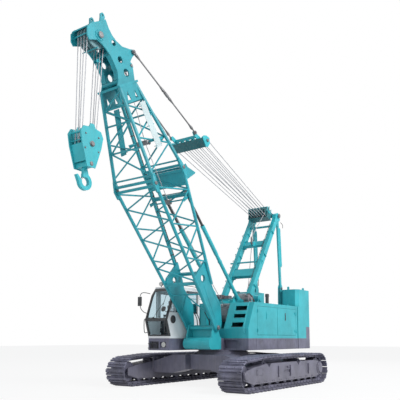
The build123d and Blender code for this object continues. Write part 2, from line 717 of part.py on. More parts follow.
# ---- winches ------------------------------------------------------------------------
SHAFT_RADIUS = 60
STOP_PIN_RADIUS = 30
FOOT_PAD_TOP = GANTRY_FOOT_Z - LEG_DEPTH / 2 - 20
with BuildPart() as winch_frame:
    for sign in SIDES.values():
        low, high = sorted((sign * WINCH_HALF, sign * (WINCH_HALF - WINCH_PLATE)))
        panel(
            [
                (WINCH_FRONT, DECK_TOP),
                (WINCH_FRONT - 60, 2450),
                (STOP_X + 130, STOP_Z + 20),
                (STOP_X, STOP_Z + 90),
                (GANTRY_FOOT_X, FOOT_PAD_TOP),
                (HOIST_DRUM[0] + 190, HOIST_DRUM[1] + 150),
                (HOIST_DRUM[0] - 190, HOIST_DRUM[1] + 150),
                (WINCH_REAR, 2100),
                (WINCH_REAR, DECK_TOP),
            ],
            low,
            high,
        )
        for x, z, barrel, flange in (MAIN_DRUM, HOIST_DRUM):
            cross_bar(x, z, low, high, SHAFT_RADIUS + PIN_CLEARANCE, mode=Mode.SUBTRACT)
        cross_bar(STOP_X, STOP_Z, low, high, STOP_PIN_RADIUS + PIN_CLEARANCE, mode=Mode.SUBTRACT)
        # pad over the house for the gantry's foot, with the two plates that hold it
        near, far = sorted((sign * (WINCH_HALF - WINCH_PLATE), sign * (LEG_HALF + LEG_WIDTH / 2 + 45)))
        block(GANTRY_FOOT_X - 230, GANTRY_FOOT_X + 150, near, far, HOUSE_TOP, FOOT_PAD_TOP)
        # gearbox of the boom hoist at the left, bearing cover at the right
        reach = GEARBOX_LENGTH if sign > 0 else 60
        near, far = sorted((sign * (WINCH_HALF - 1), sign * (WINCH_HALF + reach)))
        cross_bar(HOIST_DRUM[0], HOIST_DRUM[1], near, far, GEARBOX_RADIUS, sides=24)
        near, far = sorted((sign * (WINCH_HALF - 2), sign * (WINCH_HALF + 25)))
        bore = SHAFT_RADIUS + PIN_CLEARANCE
        cross_bar(HOIST_DRUM[0], HOIST_DRUM[1], near, far, bore, mode=Mode.SUBTRACT)
        for y in (LEG_HALF - LEG_WIDTH / 2 - 20, LEG_HALF + LEG_WIDTH / 2 + 20):
            panel(
                [
                    (GANTRY_FOOT_X - 200, FOOT_PAD_TOP),
                    (GANTRY_FOOT_X + 130, FOOT_PAD_TOP),
                    (GANTRY_FOOT_X + 60, GANTRY_FOOT_Z + 90),
                    (GANTRY_FOOT_X - 100, GANTRY_FOOT_Z + 90),
                ],
                sign * y - 20,
                sign * y + 20,
            )
    # cross members below and between the drums
    block(WINCH_FRONT - 160, WINCH_FRONT - 60, 40 - WINCH_HALF, WINCH_HALF - 40, DECK_TOP, DECK_TOP + 200)
    block(-1110, -1060, 40 - WINCH_HALF, WINCH_HALF - 40, DECK_TOP, 2200)
    block(WINCH_REAR, WINCH_REAR + 40, 40 - WINCH_HALF, WINCH_HALF - 40, DECK_TOP, 2050)
save(winch_frame, "winch_frame")


def drum(x, z, barrel, flange):
    """Add a drum with its flanges and shaft."""
    cross_bar(x, z, -DRUM_HALF, DRUM_HALF, barrel, sides=32)
    cross_bar(x, z, -DRUM_HALF - 20, -DRUM_HALF, flange, sides=32)
    cross_bar(x, z, DRUM_HALF, DRUM_HALF + 20, flange, sides=32)
    cross_bar(x, z, -WINCH_HALF - 15, WINCH_HALF + 15, SHAFT_RADIUS)


with BuildPart() as drum_main:
    drum(*MAIN_DRUM)
save(drum_main, "drum_main")

with BuildPart() as drum_hoist:
    drum(*HOIST_DRUM)
save(drum_hoist, "drum_boom_hoist")

# ---- gantry -------------------------------------------------------------------------
APEX_PIN_RADIUS = 45


def leg_x(z):
    """Fore-and-aft place of the gantry leg's centre line at a height."""
    return GANTRY_FOOT_X + (APEX_X - GANTRY_FOOT_X) * (z - GANTRY_FOOT_Z) / (APEX_Z - GANTRY_FOOT_Z)


def stay_x(z):
    """Fore-and-aft place of the gantry stay's centre line at a height."""
    return STAY_FOOT_X + (APEX_X - 70 - STAY_FOOT_X) * (z - 3600) / (APEX_Z - 3600)


with BuildPart() as gantry:
    for sign in SIDES.values():
        y = sign * LEG_HALF
        beam((GANTRY_FOOT_X, y, GANTRY_FOOT_Z), (leg_x(6150), y, 6150), LEG_WIDTH, LEG_DEPTH)
        cross_bar(GANTRY_FOOT_X, GANTRY_FOOT_Z, y - LEG_WIDTH / 2, y + LEG_WIDTH / 2, LEG_DEPTH / 2)
        panel(
            [
                (APEX_X - 150, 6100),
                (APEX_X + 260, 6000),
                (APEX_X + 170, APEX_Z + 60),
                (APEX_X + 40, APEX_Z + 120),
                (APEX_X - 90, APEX_Z + 100),
                (APEX_X - 160, APEX_Z),
            ],
            y - LEG_WIDTH / 2,
            y + LEG_WIDTH / 2,
        )
        # bosses of the apex pin
        low, high = sorted((sign * (LEG_HALF + LEG_WIDTH / 2), sign * (LEG_HALF + LEG_WIDTH / 2 + 45)))
        cross_bar(APEX_X, APEX_Z, low, high, 80)
    between = LEG_HALF - LEG_WIDTH / 2
    cross_bar(APEX_X, APEX_Z, -between, between, APEX_PIN_RADIUS)
    cross_bar(leg_x(5850), 5850, -between, between, 40)
    beam((leg_x(5010), 0, 5010), (leg_x(5190), 0, 5190), 2 * between, 120)
    beam((leg_x(3760), 0, 3760), (leg_x(4040), 0, 4040), 2 * between, 150)
    # thin bar that reaches past the legs, with its bracket
    cross_bar(leg_x(4350) + 60, 4350, -750, 650, 30)
    panel(
        [
            (leg_x(4350) + 60, 4380),
            (leg_x(4350) + 60, 4320),
            (leg_x(4180) + 60, 4180),
            (leg_x(4180) - 60, 4240),
        ],
        -between - LEG_WIDTH - 12,
        -between - LEG_WIDTH,
    )
    panel(
        [
            (leg_x(4350) + 60, 4380),
            (leg_x(4350) + 60, 4320),
            (leg_x(4180) + 60, 4180),
            (leg_x(4180) - 60, 4240),
        ],
        between + LEG_WIDTH,
        between + LEG_WIDTH + 12,
    )
save(gantry, "gantry_frame")

with BuildPart() as stays:
    for sign in SIDES.values():
        y = sign * STAY_HALF
        beam((stay_x(3450), y, 3450), (stay_x(6150), y, 6150), 60, 130)
        bar((stay_x(4340) - 115, y, 4340), (stay_x(5800) - 115, y, 5800), 55, sides=12)
        block(stay_x(4340) - 150, stay_x(4340), y - 30, y + 30, 4300, 4380)
        block(stay_x(5800) - 150, stay_x(5800), y - 30, y + 30, 5760, 5840)
        # bracket down to the deck
        for plate in (-50, 30):
            panel(
                [
                    (STAY_FOOT_X - 130, DECK_TOP),
                    (STAY_FOOT_X + 130, DECK_TOP),
                    (STAY_FOOT_X + 100, 3500),
                    (STAY_FOOT_X + 40, 3600),
                    (STAY_FOOT_X - 40, 3600),
                    (STAY_FOOT_X - 100, 3500),
                ],
                y + plate,
                y + plate + 20,
            )
        block(STAY_FOOT_X - 90, STAY_FOOT_X + 90, y - 30, y + 30, DECK_TOP, 2900)
    add(gantry.part, mode=Mode.SUBTRACT)
save(stays, "gantry_stays")

# ---- boom suspension ----------------------------------------------------------------
SHEAVE_THICK = 40
SHEAVE_SIDES = 28
GROOVE_ANGLE = 52  # of the groove's walls off the sheave's axis


def sheave(x, z, y, radius):
    """Add a rope sheave centred at y: two cones that meet in its groove."""
    for sign in SIDES.values():
        side = Plane(origin=(x, y + sign * SHEAVE_THICK / 2, z), x_dir=(1, 0, 0), z_dir=(0, -sign, 0))
        with BuildSketch(side) as section:
            RegularPolygon(radius, SHEAVE_SIDES)
        extrude(section.sketch, amount=SHEAVE_THICK / 2, taper=GROOVE_ANGLE)


nest_run = Vector(NEST_X - APEX_X, 0, NEST_Z - APEX_Z).normalized()
NEST_TRAY = NEST_SHEAVE_RADIUS + 16


def on_nest(ahead, below):
    """Place ahead of and below the gantry sheaves' axis, square to the nest's plates."""
    return (
        NEST_X + nest_run.X * ahead + nest_run.Z * below,
        NEST_Z + nest_run.Z * ahead - nest_run.X * below,
    )


with BuildPart() as nest:
    panel(
        [
            on_nest(-250, NEST_TRAY),
            on_nest(120, NEST_TRAY),
            on_nest(120, NEST_TRAY + 14),
            on_nest(-250, NEST_TRAY + 14),
        ],
        -NEST_HALF - 40,
        NEST_HALF + 40,
    )
    for sign in SIDES.values():
        low, high = sorted((sign * (NEST_HALF + 10), sign * (NEST_HALF + 40)))
        panel(
            [on_nest(-110, 0), on_nest(-210, NEST_TRAY + 8), on_nest(110, NEST_TRAY + 8), on_nest(110, 0)],
            low,
            high,
        )
        beam((APEX_X, (low + high) / 2, APEX_Z), (NEST_X, (low + high) / 2, NEST_Z), high - low, 150)
        cross_bar(APEX_X, APEX_Z, low, high, 90, sides=24)
        cross_bar(NEST_X, NEST_Z, low, high, 90, sides=24)
        cross_bar(APEX_X, APEX_Z, low, high, APEX_PIN_RADIUS + PIN_CLEARANCE, mode=Mode.SUBTRACT)
    cross_bar(NEST_X, NEST_Z, -NEST_HALF - 40, NEST_HALF + 40, 45, sides=16)
    for count in range(NEST_SHEAVES):
        y = NEST_HALF * (2 * count / (NEST_SHEAVES - 1) - 1) * 0.93
        sheave(NEST_X, NEST_Z, y, NEST_SHEAVE_RADIUS)
save(nest, "gantry_nest")

with BuildPart() as spreader:
    cross_bar(BAIL_X, BAIL_Z, -BAIL_HALF, BAIL_HALF, 40, sides=16)
    bail_step = 2 * (BAIL_HALF - 20) / BAIL_SHEAVES
    cross_tube = (BAIL_PIN_X - 160, BAIL_PIN_Z - 60)
    tube_half = BAIL_PIN_HALF - PENDANT_PLATE / 2 - RUN_CLEARANCE
    cross_bar(*cross_tube, -tube_half, tube_half, 50, sides=12)
    for count in range(BAIL_SHEAVES):
        sheave(BAIL_X, BAIL_Z, (count + 0.5) * bail_step - BAIL_HALF + 20, BAIL_SHEAVE_RADIUS)
    for count in range(BAIL_SHEAVES + 1):
        y = count * bail_step - BAIL_HALF + 20
        cross_bar(BAIL_X, BAIL_Z, y - 12, y + 12, 75, sides=12)
        if abs(y) < tube_half:
            panel(
                [
                    (BAIL_X - 60, BAIL_Z + 60),
                    (BAIL_X + 20, BAIL_Z - 75),
                    (cross_tube[0] + 10, cross_tube[1] - 50),
                    (cross_tube[0], cross_tube[1] + 50),
                ],
                y - 12,
                y + 12,
            )
    # cover plate below the sheaves, between two end plates
    cover_top = (BAIL_X + 250, BAIL_Z + 30)
    cover_low = (BAIL_X + 65, BAIL_Z - 225)
    panel(
        [cover_top, cover_low, (cover_low[0] + 10, cover_low[1] - 8), (cover_top[0] + 10, cover_top[1] - 8)],
        12 - BAIL_HALF,
        BAIL_HALF - 12,
    )
    for sign in SIDES.values():
        low, high = sorted((sign * (BAIL_HALF - 8), sign * (BAIL_HALF - 32)))
        panel(
            [
                (BAIL_X - 110, BAIL_Z + 120),
                (BAIL_X - 140, BAIL_Z - 60),
                (BAIL_X - 40, BAIL_Z - 200),
                (cover_low[0] + 10, cover_low[1] - 8),
                (cover_top[0] + 10, cover_top[1] - 8),
                (BAIL_X + 200, BAIL_Z + 110),
                (BAIL_X + 60, BAIL_Z + 150),
            ],
            low,
            high,
        )
        low, high = sorted((sign * tube_half, sign * (tube_half - 30)))
        panel(
            [
                (BAIL_X - 30, BAIL_Z + 70),
                (BAIL_X + 40, BAIL_Z - 75),
                (BAIL_PIN_X + 30, BAIL_PIN_Z - 65),
                (BAIL_PIN_X + 70, BAIL_PIN_Z + 10),
                (BAIL_PIN_X + 10, BAIL_PIN_Z + 70),
            ],
            low,
            high,
        )
save(spreader, "spreader")

# ---- boom ---------------------------------------------------------------------------
BOOM = Plane(
    origin=(FOOT_X, 0, FOOT_Z),
    x_dir=(cos(radians(BOOM_ANGLE)), 0, sin(radians(BOOM_ANGLE))),
    z_dir=(0, -1, 0),
)


def boom_at(s, h, y):
    """World point at a place along the boom, a height off its axis and a side offset."""
    along = BOOM.x_dir
    rise = BOOM.y_dir
    return (FOOT_X + along.X * s + rise.X * h, y, FOOT_Z + along.Z * s + rise.Z * h)


def boom_panel(points, y_low, y_high, mode=Mode.ADD):
    """Add a flat plate whose outline is given along and across the boom."""
    with BuildSketch(BOOM.offset(-y_high)) as section:
        with BuildLine():
            Polyline(*points, close=True)
        make_face()
    extrude(section.sketch, amount=y_high - y_low, mode=mode)


def boom_round(s, h, y_low, y_high, radius, sides=0, mode=Mode.ADD):
    """Add a bar or bore across the boom: round, or with flat sides."""
    with BuildSketch(BOOM.offset(-y_high)) as section:
        with Locations((s, h)):
            if sides:
                RegularPolygon(radius, sides)
            else:
                Circle(radius)
    extrude(section.sketch, amount=y_high - y_low, mode=mode)


FLARE_S = 400  # the sides run straight up to here, then flare out to the joint


def half_width(s):
    """Half of the boom's width between chord centres."""
    if s <= FLARE_S:
        return FOOT_HALF
    if s <= JOINT_S:
        return FOOT_HALF + (JOINT_WIDTH / 2 - FOOT_HALF) * (s - FLARE_S) / (JOINT_S - FLARE_S)
    return JOINT_WIDTH / 2 + (TIP_WIDTH - JOINT_WIDTH) / 2 * (s - JOINT_S) / (TIP_END_S - JOINT_S)


def front_h(s):
    """Height of the front chords' centres off the boom's axis."""
    if s <= JOINT_S:
        return FOOT_FRONT + (-JOINT_HALF_DEPTH - FOOT_FRONT) * s / JOINT_S
    return -JOINT_HALF_DEPTH + (TIP_FRONT + JOINT_HALF_DEPTH) * (s - JOINT_S) / (TIP_END_S - JOINT_S)


def rear_h(s):
    """Height of the rear chords' centres off the boom's axis."""
    if s <= JOINT_S:
        return FOOT_REAR + (JOINT_HALF_DEPTH - FOOT_REAR) * s / JOINT_S
    return JOINT_HALF_DEPTH + (TIP_REAR - JOINT_HALF_DEPTH) * (s - JOINT_S) / (TIP_END_S - JOINT_S)


def side_lacing(stations, sign, rear_first):
    """Add the zigzag between the front and rear chord of one side."""
    for count, (a, b) in enumerate(zip(stations, stations[1:])):
        from_rear = (count % 2 == 0) == rear_first
        first, second = (rear_h, front_h) if from_rear else (front_h, rear_h)
        bar(
            boom_at(a, first(a), sign * half_width(a)),
            boom_at(b, second(b), sign * half_width(b)),
            LACE_RADIUS,
            sides=6,
        )


def face_lacing(stations, height, first_sign):
    """Add the zigzag across the boom between the two front or the two rear chords."""
    for count, (a, b) in enumerate(zip(stations, stations[1:])):
        sign = first_sign if count % 2 == 0 else -first_sign
        bar(
            boom_at(a, height(a), sign * (half_width(a) - CHORD_RADIUS + 4)),
            boom_at(b, height(b), -sign * (half_width(b) - CHORD_RADIUS + 4)),
            LACE_RADIUS,
            sides=6,
        )


def cross_tube_at(s, height):
    """Add one tube square across the boom between two chords."""
    reach = half_width(s) - CHORD_RADIUS + 4
    boom_round(s, height(s), -reach, reach, LACE_RADIUS, sides=6)


joint_plane = Plane(origin=boom_at(JOINT_S, 0, 0), z_dir=BOOM.x_dir)
tip_end_plane = Plane(origin=boom_at(TIP_END_S, 0, 0), z_dir=BOOM.x_dir)
LACE_START = 1850
LACE_END = JOINT_S - 120
base_stations = [LACE_START + (LACE_END - LACE_START) * k / BASE_LACES for k in range(BASE_LACES + 1)]
# the side zigzag starts higher, at the foot plates' points, and has one piece fewer
SIDE_START = LACE_START + 250
side_count = BASE_LACES - 1
side_stations = [SIDE_START + (LACE_END - SIDE_START) * k / side_count for k in range(BASE_LACES)]
STOP_BEAM_DEPTH = 110
GUARD_LENGTH = 490  # rope guard across the rear chords, below the joint
GUARD_PLATE = 14

base_sides = {}
for side, sign in SIDES.items():
    with BuildPart() as base_side:
        # chords, cut square at the joint
        bar(
            boom_at(300, front_h(300), sign * half_width(FLARE_S)),
            boom_at(JOINT_S + 40, front_h(JOINT_S), sign * half_width(JOINT_S)),
            CHORD_RADIUS,
        )
        bar(
            boom_at(1350, rear_h(1350), sign * half_width(1350)),
            boom_at(JOINT_S + 40, rear_h(JOINT_S), sign * half_width(JOINT_S)),
            CHORD_RADIUS,
        )
        side_lacing(side_stations, sign, True)
        split(bisect_by=joint_plane, keep=Keep.BOTTOM)
        # foot plate with its pin bore and its lightening hole
        low, high = sign * FOOT_HALF - FOOT_PLATE / 2, sign * FOOT_HALF + FOOT_PLATE / 2
        boom_panel(
            [
                (-70, -115),
                (-130, 0),
                (-110, 180),
                (0, 290),
                (550, 560),
                (950, 470),
                (1230, 410),
                (1530, 480),
                (2150, 560),
                (2100, 400),
                (1950, -200),
                (1850, -310),
                (250, -140),
            ],
            low,
            high,
        )
        boom_round(0, 0, low - 1, high + 1, FOOT_PIN_RADIUS + PIN_CLEARANCE, mode=Mode.SUBTRACT)
        boom_round(1710, 110, low - 100, high + 100, 110, mode=Mode.SUBTRACT)
        # seat for the stop beam and pin eyes at the joint
        for height in (front_h, rear_h):
            centre = height(JOINT_S)
            boom_panel(
                [
                    (JOINT_S - 260, centre - 55),
                    (JOINT_S, centre - 90),
                    (JOINT_S, centre + 90),
                    (JOINT_S - 260, centre + 55),
                ],
                sign * half_width(JOINT_S) - 30,
                sign * half_width(JOINT_S) + 30,
            )
    base_sides[side] = base_side
    save(base_side, f"boom_base_{side}")

with BuildPart() as base_lacing:
    face_lacing(base_stations, front_h, 1)
    # beams across the rear chords: at the foot plates, at the stops and at the joint
    for s, deep in ((1750, 90), (STOP_TOP_S, STOP_BEAM_DEPTH), (JOINT_S - 75, 75)):
        reach = half_width(s) - CHORD_RADIUS + 6
        boom_panel(
            [
                (s - deep / 2, rear_h(s) - deep / 2 - 20),
                (s + deep / 2, rear_h(s) - deep / 2 - 20),
                (s + deep / 2, rear_h(s) + deep / 2 - 20),
                (s - deep / 2, rear_h(s) + deep / 2 - 20),
            ],
            -reach,
            reach,
        )
    for s, deep in ((1750, 80), (JOINT_S - 75, 75)):
        reach = half_width(s) - CHORD_RADIUS + 6
        boom_panel(
            [
                (s - deep / 2, front_h(s) - deep / 2),
                (s + deep / 2, front_h(s) - deep / 2),
                (s + deep / 2, front_h(s) + deep / 2),
                (s - deep / 2, front_h(s) + deep / 2),
            ],
            -reach,
            reach,
        )
    face_lacing(base_stations, rear_h, -1)
    # rope guard with its two pointed brackets
    guard_start = JOINT_S - 50 - GUARD_LENGTH
    reach = half_width(guard_start) - CHORD_RADIUS + 6
    boom_panel(
        [
            (guard_start, rear_h(guard_start)),
            (JOINT_S - 50, rear_h(JOINT_S)),
            (JOINT_S - 50, rear_h(JOINT_S) + GUARD_PLATE),
            (guard_start, rear_h(guard_start) + GUARD_PLATE),
        ],
        -reach,
        reach,
    )
    for sign in SIDES.values():
        low, high = sorted((sign * reach, sign * (reach - 2 * GUARD_PLATE)))
        boom_panel(
            [
                (guard_start + 120, rear_h(guard_start)),
                (JOINT_S - 20, rear_h(JOINT_S)),
                (JOINT_S + 30, rear_h(JOINT_S) + 290),
                (JOINT_S - 90, rear_h(JOINT_S) + 330),
                (guard_start + 180, rear_h(guard_start) + 680),
                (guard_start + 150, rear_h(guard_start) + 620),
            ],
            low,
            high,
        )
    boom_round(JOINT_S - 60, rear_h(JOINT_S) + 250, -reach, reach, 40, sides=12)
    for base_side in base_sides.values():
        add(base_side.part, mode=Mode.SUBTRACT)
save(base_lacing, "boom_base_lacing")

GUSSET = 24
TIP_SIDE_STEP = 480
tip_stations = [TIP_LEVELS[0] + 90 + k * TIP_SIDE_STEP for k in range(3)] + list(TIP_LEVELS[2:])
tip_sides = {}
for side, sign in SIDES.items():
    with BuildPart() as tip_side:
        for height in (front_h, rear_h):
            drift = (height(TIP_END_S) - height(JOINT_S)) * 40 / (TIP_END_S - JOINT_S)
            inset = (TIP_WIDTH - JOINT_WIDTH) / 2 * 40 / (TIP_END_S - JOINT_S)
            bar(
                boom_at(JOINT_S - 40, height(JOINT_S) - drift, sign * (half_width(JOINT_S) - inset)),
                boom_at(TIP_END_S + 40, height(TIP_END_S) + drift, sign * (half_width(TIP_END_S) + inset)),
                CHORD_RADIUS,
            )
        side_lacing(tip_stations, sign, False)
        # gusset plate between the chords below the head
        plate_y = sign * half_width((TIP_LEVELS[-1] + TIP_END_S) / 2)
        boom_panel(
            [
                (TIP_LEVELS[-1] + 10, front_h(TIP_LEVELS[-1])),
                (TIP_END_S, TIP_FRONT),
                (TIP_END_S, TIP_REAR),
                (TIP_LEVELS[-1] + 10, rear_h(TIP_LEVELS[-1])),
            ],
            plate_y - GUSSET / 2,
            plate_y + GUSSET / 2,
        )
        for gap in ((-1, 150), (1, 120)):
            middle = gap[0] * 170 + (TIP_FRONT + TIP_REAR) / 2
            boom_panel(
                [
                    (TIP_LEVELS[-1] + 90, middle - gap[1] / 2),
                    (TIP_LEVELS[-1] + 90, middle + gap[1] / 2),
                    (TIP_LEVELS[-1] + 90 + 1.7 * gap[1], middle),
                ],
                plate_y - GUSSET,
                plate_y + GUSSET,
                mode=Mode.SUBTRACT,
            )
        split(bisect_by=joint_plane, keep=Keep.TOP)
        split(bisect_by=tip_end_plane, keep=Keep.BOTTOM)
        for height in (front_h, rear_h):
            centre = height(JOINT_S)
            boom_panel(
                [
                    (JOINT_S, centre - 90),
                    (JOINT_S + 260, centre - 55 + (60 if centre < 0 else -60)),
                    (JOINT_S + 260, centre + 55 + (60 if centre < 0 else -60)),
                    (JOINT_S, centre + 90),
                ],
                sign * (half_width(JOINT_S) - 15) - 30,
                sign * (half_width(JOINT_S) - 15) + 30,
            )
    tip_sides[side] = tip_side
    save(tip_side, f"boom_tip_{side}")

with BuildPart() as tip_lacing:
    for height in (front_h, rear_h):
        face_lacing([*TIP_LEVELS, TIP_END_S - 80], height, 1 if height == front_h else -1)
        for level in TIP_LEVELS:
            cross_tube_at(level, height)
        s = JOINT_S + 75
        reach = half_width(s) - CHORD_RADIUS + 6
        boom_panel(
            [
                (s - 37, height(s) - 37),
                (s + 37, height(s) - 37),
                (s + 37, height(s) + 37),
                (s - 37, height(s) + 37),
            ],
            -reach,
            reach,
        )
    for tip_side in tip_sides.values():
        add(tip_side.part, mode=Mode.SUBTRACT)
save(tip_lacing, "boom_tip_lacing")

# ---- boom head ----------------------------------------------------------------------
PENDANT_PIN_RADIUS = 25
JIB_BORE = 28
HEAD_PIN_REACH = HEAD_HALF + 55
EAR_S = HEAD_PIN_S + 490
EAR_H = HEAD_PIN_H + 515
EAR_OUT = 220  # outer face of each ear
EAR_PLATE = 40
IDLER_S = TIP_END_S + 460
IDLER_H = TIP_REAR + 140
IDLER_RADIUS_HEAD = 110
HEAD_HOLES = ((8880, 100, 78), (8430, 130, 92), (8070, 200, 105))  # along, height, radius
with BuildPart() as head:
    # end frame on the four chords
    frame_half = half_width(TIP_END_S) + CHORD_RADIUS + 15
    boom_panel(
        [
            (TIP_END_S, TIP_FRONT - 75),
            (TIP_END_S + 60, TIP_FRONT - 75),
            (TIP_END_S + 60, TIP_REAR + 75),
            (TIP_END_S, TIP_REAR + 75),
        ],
        -frame_half,
        frame_half,
    )
    boom_panel(
        [
            (TIP_END_S - 1, TIP_FRONT + 90),
            (TIP_END_S + 61, TIP_FRONT + 90),
            (TIP_END_S + 61, TIP_REAR - 90),
            (TIP_END_S - 1, TIP_REAR - 90),
        ],
        -HEAD_HALF + 70,
        HEAD_HALF - 70,
        mode=Mode.SUBTRACT,
    )
    for sign in SIDES.values():
        low, high = sorted((sign * HEAD_HALF, sign * (HEAD_HALF - HEAD_PLATE)))
        boom_panel(
            [
                (TIP_END_S + 60, TIP_FRONT - 30),
                (TIP_END_S + 200, TIP_FRONT + 90),
                (TIP_END_S + 420, HEAD_PIN_H + 200),
                (HEAD_PIN_S - 730, HEAD_PIN_H + 185),
                (HEAD_PIN_S - 520, HEAD_PIN_H + 140),
                (HEAD_PIN_S - 360, HEAD_PIN_H + 70),
                (HEAD_PIN_S - 220, HEAD_PIN_H - 20),
                (HEAD_PIN_S - 90, HEAD_PIN_H - 150),
                (HEAD_PIN_S - 50, HEAD_PIN_H - 430),
                (HEAD_PIN_S + 70, HEAD_PIN_H - 450),
                (HEAD_PIN_S + 250, HEAD_PIN_H - 350),
                (HEAD_PIN_S + 330, HEAD_PIN_H - 180),
                (HEAD_PIN_S + 360, HEAD_PIN_H + 460),
                (HEAD_PIN_S + 140, HEAD_PIN_H + 460),
                (HEAD_PIN_S - 50, HEAD_PIN_H + 500),
                (HEAD_PIN_S - 210, HEAD_PIN_H + 585),
                (PENDANT_S + 210, PENDANT_H - 370),
                (PENDANT_S + 100, PENDANT_H - 80),
                (PENDANT_S + 65, PENDANT_H + 70),
                (PENDANT_S - 60, PENDANT_H + 70),
                (PENDANT_S - 115, PENDANT_H - 80),
                (PENDANT_S - 205, PENDANT_H - 225),
                (IDLER_S + 40, IDLER_H - 10),
                (IDLER_S - 110, IDLER_H + 20),
                (TIP_END_S + 200, TIP_REAR + 110),
                (TIP_END_S + 60, TIP_REAR + 60),
            ],
            low,
            high,
        )
        for s, h, radius in HEAD_HOLES:
            boom_round(s, h, low - 1, high + 1, radius, sides=24, mode=Mode.SUBTRACT)
        bore = PENDANT_PIN_RADIUS + PIN_CLEARANCE
        boom_round(PENDANT_S, PENDANT_H, low - 1, high + 1, bore, mode=Mode.SUBTRACT)
        # flange along the plate's front edge
        near, far = sorted((sign * (HEAD_HALF - HEAD_PLATE + 2), sign * (HEAD_HALF - HEAD_PLATE - 120)))
        boom_panel(
            [
                (TIP_END_S + 230, TIP_FRONT + 110),
                (TIP_END_S + 420, HEAD_PIN_H + 202),
                (HEAD_PIN_S - 730, HEAD_PIN_H + 187),
                (HEAD_PIN_S - 520, HEAD_PIN_H + 142),
                (HEAD_PIN_S - 520, HEAD_PIN_H + 158),
                (HEAD_PIN_S - 730, HEAD_PIN_H + 203),
                (TIP_END_S + 420, HEAD_PIN_H + 218),
                (TIP_END_S + 230, TIP_FRONT + 126),
            ],
            near,
            far,
        )
        # ear for a jib's foot
        near, far = sorted((sign * EAR_OUT, sign * (EAR_OUT - EAR_PLATE)))
        boom_panel(
            [
                (HEAD_PIN_S + 325, EAR_H - 210),
                (EAR_S - 40, EAR_H - 110),
                (EAR_S + 60, EAR_H - 50),
                (EAR_S + 75, EAR_H + 30),
                (EAR_S + 25, EAR_H + 75),
                (EAR_S - 60, EAR_H + 70),
                (HEAD_PIN_S + 325, EAR_H - 40),
            ],
            near,
            far,
        )
        boom_round(EAR_S, EAR_H, near - 1, far + 1, JIB_BORE, mode=Mode.SUBTRACT)
        # thrust collars keep the sheaves clear of the plates
        low, high = sorted((sign * HEAD_HALF, sign * HEAD_PIN_REACH))
        boom_round(HEAD_PIN_S, HEAD_PIN_H, low, high, 85, sides=24)
    boom_round(HEAD_PIN_S, HEAD_PIN_H, -HEAD_HALF, HEAD_HALF, HEAD_PIN_RADIUS)
    # tubes between the plates
    inner = HEAD_HALF - HEAD_PLATE + 2
    for s, h, radius in ((TIP_END_S + 160, TIP_FRONT + 100, 50), (HEAD_PIN_S - 470, HEAD_PIN_H + 260, 45)):
        boom_round(s, h, -inner, inner, radius, sides=12)
    # rope roller at the rear, and the covers below and above it
    boom_round(IDLER_S, IDLER_H, -inner, inner, IDLER_RADIUS_HEAD, sides=20)
    boom_panel(
        [
            (TIP_END_S + 58, TIP_REAR + 20),
            (TIP_END_S + 250, TIP_REAR + 80),
            (TIP_END_S + 250, TIP_REAR + 94),
            (TIP_END_S + 58, TIP_REAR + 34),
        ],
        -inner,
        inner,
    )
    boom_panel(
        [
            (PENDANT_S - 120, PENDANT_H - 260),
            (PENDANT_S + 60, PENDANT_H - 330),
            (HEAD_PIN_S - 230, HEAD_PIN_H + 555),
            (HEAD_PIN_S - 230, HEAD_PIN_H + 569),
            (PENDANT_S + 60, PENDANT_H - 316),
            (PENDANT_S - 120, PENDANT_H - 246),
        ],
        -inner,
        inner,
    )
    # end cover over the sheaves, which carries the ears
    boom_panel(
        [
            (HEAD_PIN_S + 308, HEAD_PIN_H - 190),
            (HEAD_PIN_S + 338, HEAD_PIN_H + 440),
            (HEAD_PIN_S + 352, HEAD_PIN_H + 440),
            (HEAD_PIN_S + 322, HEAD_PIN_H - 190),
        ],
        -inner,
        inner,
    )
    boom_round(HEAD_PIN_S + 285, HEAD_PIN_H - 290, -inner, inner, 18, sides=12)
save(head, "boom_head")

SHEAVE_STEP = 116
with BuildPart() as head_sheaves:
    pin_point = boom_at(HEAD_PIN_S, HEAD_PIN_H, 0)
    pin_x, pin_z = pin_point[0], pin_point[2]
    sleeve_half = HEAD_HALF - HEAD_PLATE - RUN_CLEARANCE
    cross_bar(pin_x, pin_z, -sleeve_half, sleeve_half, 95, sides=24)
    for count in range(HEAD_SHEAVES):
        y = (count - (HEAD_SHEAVES - 1) / 2) * SHEAVE_STEP
        sheave(pin_x, pin_z, y, HEAD_SHEAVE_RADIUS)
    cross_bar(pin_x, pin_z, -HEAD_HALF, HEAD_HALF, HEAD_PIN_RADIUS + PIN_CLEARANCE, mode=Mode.SUBTRACT)
save(head_sheaves, "head_sheaves")

